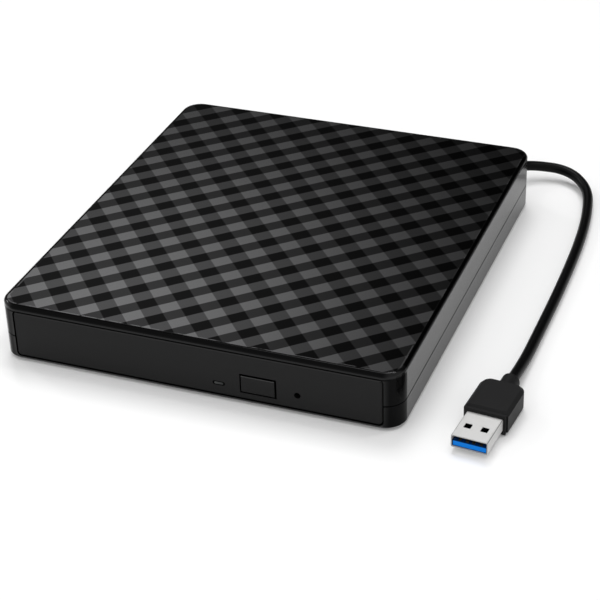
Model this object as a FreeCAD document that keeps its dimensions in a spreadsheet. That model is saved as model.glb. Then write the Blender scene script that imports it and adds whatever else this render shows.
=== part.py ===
import FreeCAD, Part

# External disc drive, millimetres. X runs right along the front, Y to the back and Z up.
# The origin is the middle of the case's footprint, on the surface that the feet stand on.
import math
import os

import Sketcher

Vector = FreeCAD.Vector
doc = FreeCAD.newDocument("disc_drive")
sheet = doc.addObject("Spreadsheet::Sheet", "Sizes")
NODES = {}
TINY = 1e-6


class Dim:
    """A size that knows both its number and the sheet formula that gives it."""

    def __init__(self, value, text):
        self.value = value
        self.text = text

    def __add__(self, other):
        other = as_dim(other)
        return Dim(self.value + other.value, f"({self.text} + {other.text})")

    def __radd__(self, other):
        return as_dim(other) + self

    def __sub__(self, other):
        other = as_dim(other)
        return Dim(self.value - other.value, f"({self.text} - {other.text})")

    def __rsub__(self, other):
        return as_dim(other) - self

    def __mul__(self, other):
        other = as_dim(other)
        return Dim(self.value * other.value, f"({self.text} * {other.text})")

    __rmul__ = __mul__

    def __truediv__(self, other):
        other = as_dim(other)
        return Dim(self.value / other.value, f"({self.text} / {other.text})")

    def __neg__(self):
        return Dim(-self.value, f"(-{self.text})")


def refresh(*items):
    """Work out only these objects, after any new sizes."""
    if size.fresh:
        sheet.recompute()
        size.fresh = False
    for item in items:
        item.recompute()


def as_dim(number):
    """Turn a plain number into a Dim, and leave a Dim alone."""
    if isinstance(number, Dim):
        return number
    return Dim(float(number), f"({float(number)})")


def size(alias, value):
    """Put one driving dimension into the sheet under its alias."""
    size.row += 1
    sheet.set(f"A{size.row}", alias)
    sheet.set(f"B{size.row}", str(value))
    sheet.setAlias(f"B{size.row}", alias)
    size.fresh = True
    return Dim(float(value), f"Sizes.{alias}")


size.row = 0
size.fresh = True


def bind(item, prop, number):
    """Tie a property to the sheet, or set it where the number is fixed."""
    number = as_dim(number)
    if "Sizes." in number.text:
        item.setExpression(prop, number.text)
    return number.value


def move(item, x=0, y=0, z=0, axis=(0, 0, 1), angle=0.0):
    """Place an object, turned about an axis by degrees."""
    corner = [as_dim(part) for part in (x, y, z)]
    turn = FreeCAD.Rotation(Vector(*axis), angle)
    item.Placement = FreeCAD.Placement(Vector(*[part.value for part in corner]), turn)
    for letter, part in zip("xyz", corner):
        bind(item, f".Placement.Base.{letter}", part)
    return item


def keep(item, node):
    """Name a finished sub-part and list it for export."""
    item.Label = node
    NODES[node] = item
    return item


# Solids from primitives

def box(low, high):
    """A box between two corners."""
    item = doc.addObject("Part::Box", "block")
    for prop, start, end in zip(("Length", "Width", "Height"), low, high):
        setattr(item, prop, bind(item, prop, as_dim(end) - start))
    return move(item, *low)


AXIS_TURNS = {"X": ((0, 1, 0), 90.0), "Y": ((1, 0, 0), -90.0), "Z": ((0, 0, 1), 0.0)}


def rod(start, length, radius, along="Z"):
    """A cylinder from its start point along one axis."""
    item = doc.addObject("Part::Cylinder", "round_bar")
    item.Height = bind(item, "Height", length)
    item.Radius = bind(item, "Radius", radius)
    turn_axis, angle = AXIS_TURNS[along]
    return move(item, *start, axis=turn_axis, angle=angle)


def taper(start, length, first_radius, last_radius, along="Z"):
    """A cone from its start point along one axis."""
    item = doc.addObject("Part::Cone", "taper")
    item.Height = bind(item, "Height", length)
    item.Radius1 = bind(item, "Radius1", first_radius)
    item.Radius2 = bind(item, "Radius2", last_radius)
    turn_axis, angle = AXIS_TURNS[along]
    return move(item, *start, axis=turn_axis, angle=angle)


def join(items):
    """Fuse touching solids into one."""
    item = doc.addObject("Part::MultiFuse", "joined")
    item.Shapes = items
    item.Refine = True
    return item


def carve(base, tools):
    """Cut tools out of a base."""
    item = doc.addObject("Part::Cut", "carved")
    item.Base = base
    item.Tool = tools[0] if len(tools) == 1 else join(tools)
    item.Refine = True
    return item


def group(items):
    """Keep separate solids together in one sub-part."""
    item = doc.addObject("Part::Compound", "set")
    item.Links = items
    return item


# Solids from sketches

def new_body(name):
    """An empty solid that features are added to."""
    return doc.addObject("PartDesign::Body", name)


def new_sketch(body, role, offset=0, turn=0.0, centre=(0, 0)):
    """A sketch on one of the body's own planes, moved along the plane's normal."""
    sketch = body.newObject("Sketcher::SketchObject", "profile")
    plane = next(item for item in body.Origin.OriginFeatures if item.Role == role)
    sketch.AttachmentSupport = [(plane, "")]
    sketch.MapMode = "FlatFace"
    place = [as_dim(part) for part in (*centre, offset)]
    spin = FreeCAD.Rotation(Vector(0, 0, 1), turn)
    sketch.AttachmentOffset = FreeCAD.Placement(Vector(*[part.value for part in place]), spin)
    for letter, part in zip("xyz", place):
        bind(sketch, f".AttachmentOffset.Base.{letter}", part)
    return sketch


def pin_point(sketch, geometry, end, point):
    """Fix a sketch point by its two distances from the sketch's origin."""
    for kind, axis_line, part in zip(("DistanceX", "DistanceY"), (-2, -1), point):
        part = as_dim(part)
        if abs(part.value) < TINY:
            sketch.addConstraint(Sketcher.Constraint("PointOnObject", geometry, end, axis_line))
            continue
        rule = Sketcher.Constraint(kind, -1, 1, geometry, end, part.value)
        index = sketch.addConstraint(rule)
        bind(sketch, f"Constraints[{index}]", part)


def draw_outline(sketch, points):
    """A closed outline of straight lines through the points."""
    first = sketch.GeometryCount
    count = len(points)
    flat = [Vector(as_dim(x).value, as_dim(y).value, 0) for x, y in points]
    for index in range(count):
        sketch.addGeometry(Part.LineSegment(flat[index], flat[(index + 1) % count]))
    for index in range(count):
        follower = first + (index + 1) % count
        sketch.addConstraint(Sketcher.Constraint("Coincident", first + index, 2, follower, 1))
    for index, point in enumerate(points):
        pin_point(sketch, first + index, 1, point)


def draw_rectangle(sketch, x0, x1, y0, y1):
    """A rectangle between two corners."""
    draw_outline(sketch, [(x0, y0), (x1, y0), (x1, y1), (x0, y1)])


def draw_round_rectangle(sketch, half_x, half_y, corner):
    """A rectangle round the sketch's origin, with all four corners rounded."""
    first = sketch.GeometryCount
    wide, deep, radius = half_x.value, half_y.value, corner.value
    flat_x, flat_y = wide - radius, deep - radius
    sides = [((-flat_x, -deep), (flat_x, -deep)), ((wide, -flat_y), (wide, flat_y)),
             ((flat_x, deep), (-flat_x, deep)), ((-wide, flat_y), (-wide, -flat_y))]
    for start, end in sides:
        sketch.addGeometry(Part.LineSegment(Vector(*start, 0), Vector(*end, 0)))
    centres = [(flat_x, -flat_y), (flat_x, flat_y), (-flat_x, flat_y), (-flat_x, -flat_y)]
    quarter = math.pi / 2
    for index, centre in enumerate(centres):
        circle = Part.Circle(Vector(*centre, 0), Vector(0, 0, 1), radius)
        start = (index - 1) * quarter
        sketch.addGeometry(Part.ArcOfCircle(circle, start, start + quarter))
    for index in range(4):
        line, arc, next_line = first + index, first + 4 + index, first + (index + 1) % 4
        kind = "Horizontal" if index % 2 == 0 else "Vertical"
        sketch.addConstraint(Sketcher.Constraint(kind, line))
        sketch.addConstraint(Sketcher.Constraint("Tangent", line, 2, arc, 1))
        sketch.addConstraint(Sketcher.Constraint("Tangent", arc, 2, next_line, 1))
        rule = sketch.addConstraint(Sketcher.Constraint("Radius", arc, radius))
        bind(sketch, f"Constraints[{rule}]", corner)
    for index, (kind, part) in enumerate((("DistanceY", -half_y), ("DistanceX", half_x),
                                          ("DistanceY", half_y), ("DistanceX", -half_x))):
        rule = sketch.addConstraint(Sketcher.Constraint(kind, -1, 1, first + index, 1, part.value))
        bind(sketch, f"Constraints[{rule}]", part)


def draw_circle(sketch, x, y, radius):
    """A circle round a point."""
    radius = as_dim(radius)
    centre = Vector(as_dim(x).value, as_dim(y).value, 0)
    geometry = sketch.addGeometry(Part.Circle(centre, Vector(0, 0, 1), radius.value))
    pin_point(sketch, geometry, 3, (x, y))
    index = sketch.addConstraint(Sketcher.Constraint("Radius", geometry, radius.value))
    bind(sketch, f"Constraints[{index}]", radius)


def draw_slot(sketch, x, y, length, height):
    """A rounded slot, twice as long as it is high or more."""
    radius = as_dim(height) / 2
    reach = as_dim(length) / 2 - radius
    left, right = x - reach, x + reach
    low, high = y - radius, y + radius
    ends = [(left, low), (right, low), (right, high), (left, high)]
    flat = [Vector(a.value, b.value, 0) for a, b in ends]
    first = sketch.GeometryCount
    sketch.addGeometry(Part.LineSegment(flat[0], flat[1]))
    sketch.addGeometry(Part.LineSegment(flat[2], flat[3]))
    up = Vector(0, 0, 1)
    quarter = math.pi / 2
    right_circle = Part.Circle((flat[1] + flat[2]) / 2, up, radius.value)
    left_circle = Part.Circle((flat[3] + flat[0]) / 2, up, radius.value)
    sketch.addGeometry(Part.ArcOfCircle(right_circle, -quarter, quarter))
    sketch.addGeometry(Part.ArcOfCircle(left_circle, quarter, 3 * quarter))
    joints = [(first, 2, first + 2, 1), (first + 2, 2, first + 1, 1),
              (first + 1, 2, first + 3, 1), (first + 3, 2, first, 1)]
    for pair in joints:
        sketch.addConstraint(Sketcher.Constraint("Tangent", *pair))
    for geometry, end, point in ((first, 1, ends[0]), (first, 2, ends[1])):
        pin_point(sketch, geometry, end, point)
    index = sketch.addConstraint(Sketcher.Constraint("Radius", first + 2, radius.value))
    bind(sketch, f"Constraints[{index}]", radius)


def pad(body, sketch, length, backwards=False):
    """Push a sketch out along its plane's normal."""
    feature = body.newObject("PartDesign::Pad", "pad")
    feature.Profile = sketch
    feature.Reversed = backwards
    feature.Length = bind(feature, "Length", length)
    refresh(sketch, feature)
    return feature


def pocket(body, sketch, depth, backwards=False):
    """Cut a sketch into the solid, against its plane's normal unless backwards."""
    before = body.Tip.Shape.Volume
    feature = body.newObject("PartDesign::Pocket", "pocket")
    feature.Profile = sketch
    feature.Reversed = backwards
    feature.Length = bind(feature, "Length", depth)
    refresh(sketch, feature)
    if feature.Shape.Volume > before - TINY:
        raise RuntimeError(f"a pocket in {body.Name} cuts nothing")
    return feature


def revolve(body, sketch):
    """Turn a sketch once round its own vertical axis."""
    feature = body.newObject("PartDesign::Revolution", "turned")
    feature.Profile = sketch
    feature.ReferenceAxis = (sketch, ["V_Axis"])
    feature.Angle = 360.0
    refresh(sketch, feature)
    return feature


def soften(body, radius, wanted):
    """Round the edges that the test picks."""
    base = body.Tip
    names = [f"Edge{index + 1}" for index, edge in enumerate(base.Shape.Edges) if wanted(edge)]
    if not names:
        raise RuntimeError(f"no edge to round in {body.Name}")
    feature = body.newObject("PartDesign::Fillet", "rounding")
    feature.Base = (base, names)
    feature.Radius = bind(feature, "Radius", radius)
    refresh(feature)
    return feature


def bevel(body, width, wanted):
    """Cut a flat edge along the edges that the test picks."""
    base = body.Tip
    names = [f"Edge{index + 1}" for index, edge in enumerate(base.Shape.Edges) if wanted(edge)]
    if not names:
        raise RuntimeError(f"no edge to bevel in {body.Name}")
    feature = body.newObject("PartDesign::Chamfer", "bevel")
    feature.Base = (base, names)
    feature.Size = bind(feature, "Size", width)
    refresh(feature)
    return feature


def near(first, second, slack=0.01):
    """Whether two lengths agree."""
    return abs(first - second) < slack


def runs_along(edge, letter):
    """Whether a straight edge lies along an axis."""
    if edge.Curve.TypeId != "Part::GeomLine":
        return False
    way = edge.Vertexes[-1].Point - edge.Vertexes[0].Point
    others = [abs(getattr(way, other)) for other in "xyz" if other != letter]
    return max(others) < TINY


def is_level(edge, z):
    """Whether an edge lies flat at a height."""
    return near(edge.BoundBox.ZMin, z) and near(edge.BoundBox.ZMax, z)


def mid(edge):
    """The middle of an edge's box."""
    return edge.BoundBox.Center


# Driving dimensions of the case and of what it holds

case_width = size("case_width", 140)
case_depth = size("case_depth", 160)
case_height = size("case_height", 21.5)
case_corner = size("case_corner", 7)
edge_round = size("edge_round", 1.2)
wall = size("wall", 1.8)
floor_thickness = size("floor_thickness", 1.6)
foot_height = size("foot_height", 0.8)
seam_height = size("seam_height", 9.4)
seam_gap = size("seam_gap", 0.3)
lip_thickness = size("lip_thickness", 0.8)
lip_height = size("lip_height", 1.5)
opening_width = size("opening_width", 129)
opening_top = size("opening_top", 19.4)
opening_bottom = size("opening_bottom", 1.8)
opening_corner = size("opening_corner", 1.6)
bezel_gap = size("bezel_gap", 0.4)
bezel_depth = size("bezel_depth", 4.8)

half_width = case_width / 2
half_depth = case_depth / 2
inner_half_width = half_width - wall
inner_half_depth = half_depth - wall
ceiling = case_height - wall
case_floor = foot_height + floor_thickness
top_cover_base = seam_height + seam_gap / 2
bottom_cover_top = seam_height - seam_gap / 2
bezel_back = bezel_depth - half_depth

# The slim drive inside: a sheet steel box of the usual size

drive_width = size("drive_width", 128)
drive_front = size("drive_front", -74.6)
drive_back = size("drive_back", 54)
drive_bottom = size("drive_bottom", 4.6)
drive_height = size("drive_height", 12.7)
steel = size("steel", 0.5)
disc_centre = size("disc_centre", -11.4)
disc_seat = size("disc_seat", 13.6)

drive_half = drive_width / 2
drive_top = drive_bottom + drive_height
pan_floor = drive_bottom + steel
lid_under = drive_top - steel

# Screw posts, feet and the cable's way out, with their places

case_screw_x = size("case_screw_x", 61)
case_screw_y = size("case_screw_y", 63)
case_boss = size("case_boss", 3.2)
boss_meet = size("boss_meet", 9.7)
case_shank = size("case_shank", 1.1)
case_hole = size("case_hole", 1.2)
case_head_hole = size("case_head_hole", 2.3)
case_head_seat = size("case_head_seat", 3)
case_screw_top = size("case_screw_top", 16)
board_post_x = size("board_post_x", 46)
board_post_front = size("board_post_front", 60)
board_post_back = size("board_post_back", 70.5)
board_post = size("board_post", 2)
board_under = size("board_under", 6.2)
foot_radius = size("foot_radius", 5)
foot_recess = size("foot_recess", 0.6)
foot_play = size("foot_play", 0.2)
front_foot_x = size("front_foot_x", 58)
front_foot_y = size("front_foot_y", -66)
cable_x = size("cable_x", 60)
cable_height = size("cable_height", 7.4)
grommet_neck = size("grommet_neck", 2.5)

CASE_SCREWS = [(side * case_screw_x, case_screw_y) for side in (-1, 1)]
BOARD_POSTS = [(-board_post_x, board_post_front), (-board_post_x, board_post_back),
               (board_post_x, board_post_back)]
FEET = {
    "foot_front_left": (-front_foot_x, front_foot_y),
    "foot_front_right": (front_foot_x, front_foot_y),
    "foot_rear_left": (-case_screw_x, case_screw_y),
    "foot_rear_right": (case_screw_x, case_screw_y),
}


def pad_shell(body, base, top):
    """The outer block of a cover, with its upright corners rounded."""
    sketch = new_sketch(body, "XY_Plane", base)
    draw_rectangle(sketch, -half_width, half_width, -half_depth, half_depth)
    pad(body, sketch, top - base)
    soften(body, case_corner, lambda edge: runs_along(edge, "z"))


def hollow_shell(body, start, depth, half_x, half_y, corner, upwards):
    """Empty a cover from its open side, with rounded inner corners."""
    sketch = new_sketch(body, "XY_Plane", start)
    draw_round_rectangle(sketch, half_x, half_y, corner)
    pocket(body, sketch, depth, backwards=upwards)


def add_posts(body, places, radius, base, top):
    """Round posts that stand on a floor or hang from a roof."""
    sketch = new_sketch(body, "XY_Plane", base)
    for x, y in places:
        draw_circle(sketch, x, y, radius)
    pad(body, sketch, top - base)


def add_square_posts(body, places, half_side, base, top):
    """Square posts that stand on a floor or hang from a roof."""
    sketch = new_sketch(body, "XY_Plane", base)
    for x, y in places:
        draw_rectangle(sketch, x - half_side, x + half_side, y - half_side, y + half_side)
    pad(body, sketch, top - base)


def drill(body, places, radius, base, top):
    """Round holes upwards from a height."""
    sketch = new_sketch(body, "XY_Plane", base)
    for x, y in places:
        draw_circle(sketch, x, y, radius)
    pocket(body, sketch, top - base, backwards=True)


def cut_front(body, x0, x1, z0, z1, start, depth):
    """Cut a rectangle from the front, inwards along Y from a start plane."""
    sketch = new_sketch(body, "XZ_Plane", -as_dim(start))
    draw_rectangle(sketch, x0, x1, z0, z1)
    pocket(body, sketch, depth)


def round_opening(body, z):
    """Round the two corners of the front opening that lie at a height."""
    half_opening = opening_width.value / 2

    def opening_edge(edge):
        place = mid(edge)
        return runs_along(edge, "y") and near(abs(place.x), half_opening) and near(place.z, z.value)

    soften(body, opening_corner, opening_edge)


def cut_cable_notch(body):
    """A round notch in the back wall that grips the strain relief."""
    sketch = new_sketch(body, "XZ_Plane", -(half_depth + 1))
    draw_circle(sketch, cable_x, cable_height, grommet_neck)
    pocket(body, sketch, wall + lip_thickness + 1, backwards=True)


def make_top_cover():
    """Upper shell: thin roof, walls down to the seam, and the upper part of the front opening."""
    rib_half = size("roof_rib_half", 50)
    rib_thick = size("roof_rib_thick", 1)
    rib_step = size("roof_rib_step", 38)
    body = new_body("top_cover_body")
    pad_shell(body, top_cover_base, case_height)
    soften(body, edge_round, lambda edge: is_level(edge, case_height.value))
    hollow_shell(body, top_cover_base, ceiling - top_cover_base, inner_half_width,
                 inner_half_depth, case_corner - wall, True)
    hollow_shell(body, top_cover_base, lip_height, inner_half_width + lip_thickness,
                 inner_half_depth + lip_thickness, case_corner - wall + lip_thickness, True)
    cut_front(body, -opening_width / 2, opening_width / 2, top_cover_base - 1, opening_top,
              -half_depth - 1, wall + 2)
    round_opening(body, opening_top)
    add_posts(body, CASE_SCREWS, case_boss, boss_meet, ceiling)
    drill(body, CASE_SCREWS, case_shank, boss_meet, case_screw_top)
    cut_cable_notch(body)
    ribs = new_sketch(body, "XY_Plane", drive_top)
    for step in (-1, 0, 1):
        middle = step * rib_step + disc_centre
        draw_rectangle(ribs, -rib_half, rib_half, middle - rib_thick / 2, middle + rib_thick / 2)
    pad(body, ribs, ceiling - drive_top)
    keep(body, "top_cover")


def make_bottom_cover():
    """Lower shell: floor, low walls, an inner lip, and posts and ribs that hold the drive."""
    cross_rib_half = size("cross_rib_half", 52)
    cross_rib_step = size("cross_rib_step", 30)
    rib_thick = size("floor_rib_thick", 1.2)
    side_rib_step = size("side_rib_step", 34)
    side_play = size("side_play", 0.2)
    lid_flange = size("lid_flange", 0.4)
    opening_play = size("opening_play", 1.2)
    body = new_body("bottom_cover_body")
    pad_shell(body, foot_height, bottom_cover_top)
    bevel(body, edge_round / 2, lambda edge: is_level(edge, foot_height.value))
    hollow_shell(body, bottom_cover_top, bottom_cover_top - case_floor, inner_half_width,
                 inner_half_depth, case_corner - wall, False)
    lip = new_sketch(body, "XY_Plane", bottom_cover_top)
    draw_round_rectangle(lip, inner_half_width + lip_thickness, inner_half_depth + lip_thickness,
                         case_corner - wall + lip_thickness)
    draw_round_rectangle(lip, inner_half_width, inner_half_depth, case_corner - wall)
    pad(body, lip, lip_height)
    half_opening = opening_width / 2
    cut_front(body, -half_opening, half_opening, opening_bottom, seam_height + lip_height * 2,
              -half_depth - 1, bezel_depth + opening_play)
    round_opening(body, opening_bottom)
    add_posts(body, CASE_SCREWS, case_boss, case_floor - floor_thickness / 2, boss_meet)
    add_square_posts(body, BOARD_POSTS, board_post, case_floor - floor_thickness / 2, board_under)
    ribs = new_sketch(body, "XY_Plane", case_floor)
    for step in (-1, 0, 1):
        middle = step * cross_rib_step
        draw_rectangle(ribs, -cross_rib_half, cross_rib_half,
                       middle - rib_thick / 2, middle + rib_thick / 2)
    pad(body, ribs, drive_bottom - case_floor)
    holders = new_sketch(body, "XY_Plane", case_floor)
    for side in (-1, 1):
        for step in (-1, 0, 1):
            middle = step * side_rib_step + disc_centre
            inner = side * (drive_half + lid_flange + side_play)
            outer = side * inner_half_width
            low, high = (inner, outer) if side > 0 else (outer, inner)
            draw_rectangle(holders, low, high, middle - rib_thick / 2, middle + rib_thick / 2)
    pad(body, holders, bottom_cover_top - case_floor)
    drill(body, CASE_SCREWS, case_hole, foot_height, boss_meet)
    drill(body, CASE_SCREWS, case_head_hole, foot_height, case_head_seat)
    drill(body, list(FEET.values()), foot_radius + foot_play, foot_height, foot_height + foot_recess)
    cut_cable_notch(body)
    slot = new_sketch(body, "XZ_Plane", -(half_depth + 1))
    draw_rectangle(slot, cable_x - grommet_neck, cable_x + grommet_neck, cable_height,
                   seam_height + lip_height * 2)
    pocket(body, slot, wall + 2, backwards=True)
    keep(body, "bottom_cover")


def make_feet():
    """Four rubber discs, each set in its recess and rounded at the bottom."""
    edge_cut = size("foot_edge", 0.4)
    for node, (x, y) in FEET.items():
        body = new_body(node + "_body")
        sketch = new_sketch(body, "XY_Plane", 0)
        draw_circle(sketch, x, y, foot_radius)
        pad(body, sketch, foot_height + foot_recess)
        bevel(body, edge_cut, lambda edge: is_level(edge, 0))
        keep(body, node)


# Rear bay: the board that joins the drive to the cable

def make_bridge_board():
    """Circuit board on three posts, with its chip, crystal, capacitors and small parts."""
    board_left = size("board_left", -52)
    board_right = size("board_right", 50)
    board_front = size("board_front", 57)
    board_rear = size("board_rear", 74)
    board_thick = size("board_thick", 1.2)
    board_top = board_under + board_thick
    plate = box((board_left, board_front, board_under), (board_right, board_rear, board_top))
    keep(plate, "bridge_board")

    chip_x = size("bridge_chip_x", 12)
    chip_y = size("bridge_chip_y", 61)
    chip_side = size("bridge_chip_side", 7)
    chip_thick = size("bridge_chip_thick", 1.1)
    can_radius = size("can_radius", 2.5)
    can_height = size("can_height", 5.4)
    can_x = size("can_x", -28)
    can_y = size("can_y", 69.5)
    can_step = size("can_step", 8)
    crystal_length = size("crystal_length", 7)
    crystal_width = size("crystal_width", 3.2)
    small_length = size("small_part_length", 1.6)
    small_width = size("small_part_width", 0.8)
    small_height = size("small_part_height", 0.7)
    small_step = size("small_part_step", 4)
    small_parts = 5
    parts = [box((chip_x, chip_y, board_top),
                 (chip_x + chip_side, chip_y + chip_side, board_top + chip_thick))]
    parts.append(box((chip_x, chip_y + chip_side + small_length, board_top),
                     (chip_x + crystal_length, chip_y + chip_side + small_length + crystal_width,
                      board_top + chip_thick * 2)))
    for step in range(2):
        parts.append(rod((can_x + step * can_step, can_y, board_top), can_height, can_radius))
    for step in range(small_parts):
        left = chip_x + chip_side + small_step * (step + 1)
        parts.append(box((left, chip_y, board_top),
                         (left + small_width, chip_y + small_length, board_top + small_height)))
    keep(group(parts), "bridge_components")


connector_left = size("connector_left", -38)
connector_right = size("connector_right", -6)
connector_base = size("connector_base", 7.4)
connector_top = size("connector_top", 10.8)
connector_face = size("connector_face", 54.2)


def make_connectors():
    """The board's connector meets the drive's own in a cut-out of the drive's back wall."""
    shoulder = size("connector_shoulder", 3)
    shell_depth = size("connector_depth", 5)
    tongue = size("connector_tongue", 0.8)
    body_front = connector_face + shoulder
    front_part = box((connector_left, connector_face, connector_base),
                     (connector_right, body_front, connector_top))
    rear_part = box((connector_left - tongue, body_front, connector_base),
                    (connector_right + tongue, body_front + shell_depth, connector_top + tongue))
    keep(join([front_part, rear_part]), "sata_connector")
    inner_depth = size("inner_connector_depth", 5)
    base = box((connector_left, connector_face - inner_depth, pan_floor + tongue),
               (connector_right, connector_face - inner_depth + shoulder, connector_top))
    front = box((connector_left, connector_face - inner_depth + shoulder, connector_base),
                (connector_right, connector_face, connector_top))
    keep(join([base, front]), "drive_connector")
    board_reach = size("connector_board_reach", 14)
    board_side = size("connector_board_side", 4)
    board = box((connector_left - board_side, connector_face - board_reach, pan_floor),
                (connector_right + board_side, drive_back - steel, pan_floor + tongue))
    keep(board, "connector_board")


def make_ribbon():
    """Flat cable on the drive's floor, folded back on itself once."""
    film = size("ribbon_film", 0.15)
    ribbon_left = size("ribbon_left", -24)
    ribbon_right = size("ribbon_right", -8)
    fold_y = size("ribbon_fold", -22)
    upper_end = size("ribbon_upper_end", 24)
    lower_end = connector_face - size("ribbon_lower_reach", 14.2)
    fold_rise = size("ribbon_rise", 0.45)
    body = new_body("ribbon_body")
    sketch = new_sketch(body, "YZ_Plane", ribbon_left)
    low = pan_floor
    high = pan_floor + fold_rise
    draw_outline(sketch, [(lower_end, low), (lower_end, low + film), (fold_y + film, low + film),
                          (fold_y + film, high - film), (upper_end, high - film),
                          (upper_end, high), (fold_y, high), (fold_y, low)])
    pad(body, sketch, ribbon_right - ribbon_left)
    keep(body, "ribbon_cable")


# The free cable and its plug

cable_diameter = size("cable_diameter", 3.8)
relief_end = size("relief_end", 81.5)
plug_x = size("plug_x", 93.1)
plug_y = size("plug_y", -83.4)
PLUG_TURN = -5.0
plug_middle = size("plug_middle", 4)
boot_end = size("boot_end", 38)

CABLE_ROUTE = [
    (60.0, 81.5, 7.4), (60.8, 90.0, 7.2), (66.6, 96.6, 5.9), (80.4, 99.2, 4.6),
    (90.4, 89.2, 3.2), (94.0, 73.0, 2.1), (96.3, 51.0, 2.0), (97.2, 16.0, 2.0),
    (97.0, -14.0, 2.0), (97.0, -32.0, 2.4), (96.41, -45.54, 4.0),
]
ARC_SHARE = 0.45


def make_strain_relief():
    """Moulded rubber grommet with a flange on each side of the back wall."""
    outer_flange = size("outer_flange", 3)
    inner_flange = size("inner_flange", 3)
    flange_thick = size("flange_thick", 1.6)
    neck_start = inner_half_depth - flange_thick
    pieces = [
        rod((cable_x, half_depth, cable_height), relief_end - half_depth, outer_flange, "Y"),
        rod((cable_x, inner_half_depth, cable_height), wall, grommet_neck, "Y"),
        rod((cable_x, neck_start, cable_height), flange_thick, inner_flange, "Y"),
    ]
    keep(join(pieces), "strain_relief")


def make_cable():
    """Round tube along straight runs joined by tangent arcs."""
    points = [Vector(*point) for point in CABLE_ROUTE]
    last = points[0]
    length = 0.0
    ring = Part.Circle(last, points[1] - last, cable_diameter.value / 2).toShape()
    faces = [Part.Face(Part.Wire(ring))]
    for before, corner, after in zip(points, points[1:], points[2:]):
        way_in = corner - before
        way_out = after - corner
        cut = ARC_SHARE * min(way_in.Length, way_out.Length)
        turn = way_in.getAngle(way_out)
        radius = cut / math.tan(turn / 2)
        print(f"cable bend radius {radius:.1f} mm")
        way_in.normalize()
        way_out.normalize()
        run = corner - way_in * cut - last
        faces.append(ring.extrude(run))
        ring = ring.translated(run)
        inward = (way_out - way_in).normalize()
        centre = corner + inward * (radius / math.cos(turn / 2))
        axis = way_in.cross(way_out).normalize()
        faces.append(ring.revolve(centre, axis, math.degrees(turn)))
        ring = ring.rotated(centre, axis, math.degrees(turn))
        last = corner + way_out * cut
        length += run.Length + radius * turn
    run = points[-1] - last
    length += run.Length
    faces.append(ring.extrude(run))
    faces.append(Part.Face(Part.Wire(ring.translated(run))))
    skin = Part.makeShell(faces)
    skin.sewShape()
    item = doc.addObject("Part::Feature", "cable_tube")
    item.Shape = Part.Solid(skin)
    expected = length * math.pi * cable_diameter.value ** 2 / 4
    print(f"cable length {length:.1f} mm, volume {item.Shape.Volume:.1f} of {expected:.1f}")
    keep(item, "cable")


shell_width = size("shell_width", 12)
shell_height = size("shell_height", 4.5)
shell_metal = size("shell_metal", 0.3)
shell_length = size("shell_length", 15.4)
housing_front = size("housing_front", 13.4)


def make_plug():
    """Cable plug: steel shell with catch windows, blue insert, contacts, and a moulded grip."""
    window_width = size("window_width", 2.3)
    window_length = size("window_length", 2.5)
    window_x = size("window_x", 2.75)
    window_y = size("window_y", 5)
    low = plug_middle - shell_height / 2
    high = plug_middle + shell_height / 2
    half = shell_width / 2
    outer = box((-half, 0, low), (half, shell_length, high))
    inner = box((shell_metal - half, -1, low + shell_metal),
                (half - shell_metal, shell_length + 1, high - shell_metal))
    windows = [box((side * window_x - window_width / 2, window_y, low - 1),
                   (side * window_x + window_width / 2, window_y + window_length, high + 1))
               for side in (-1, 1)]
    shell = carve(outer, [inner] + windows)
    keep(move(shell, plug_x, plug_y, 0, angle=PLUG_TURN), "plug_shell")

    insert_top = size("insert_top", 4)
    insert_front = size("insert_front", 0.4)
    block_front = size("block_front", 11)
    tongue = box((shell_metal - half, insert_front, low + shell_metal),
                 (half - shell_metal, shell_length, insert_top))
    block = box((shell_metal - half, block_front, insert_top),
                (half - shell_metal, shell_length, high - shell_metal))
    keep(move(join([tongue, block]), plug_x, plug_y, 0, angle=PLUG_TURN), "plug_insert")

    strip_width = size("strip_width", 1)
    strip_start = size("strip_start", 0.9)
    strip_end = size("strip_end", 7.2)
    strip_thick = size("strip_thick", 0.12)
    strip_places = (-3.5, -1.0, 1.0, 3.5)
    spring_places = (-4.0, -2.0, 0.0, 2.0, 4.0)
    spring_start = size("spring_start", 8.2)
    spring_end = size("spring_end", 10.4)
    spring_rise = size("spring_rise", 0.4)
    strips = [box((x - strip_width / 2, strip_start, insert_top),
                  (x + strip_width / 2, strip_end, insert_top + strip_thick)) for x in strip_places]
    springs = [box((x - strip_width / 4, spring_start, insert_top),
                   (x + strip_width / 4, spring_end, insert_top + spring_rise)) for x in spring_places]
    keep(move(group(strips + springs), plug_x, plug_y, 0, angle=PLUG_TURN), "plug_contacts")
    make_plug_housing(low, high, half)


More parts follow.
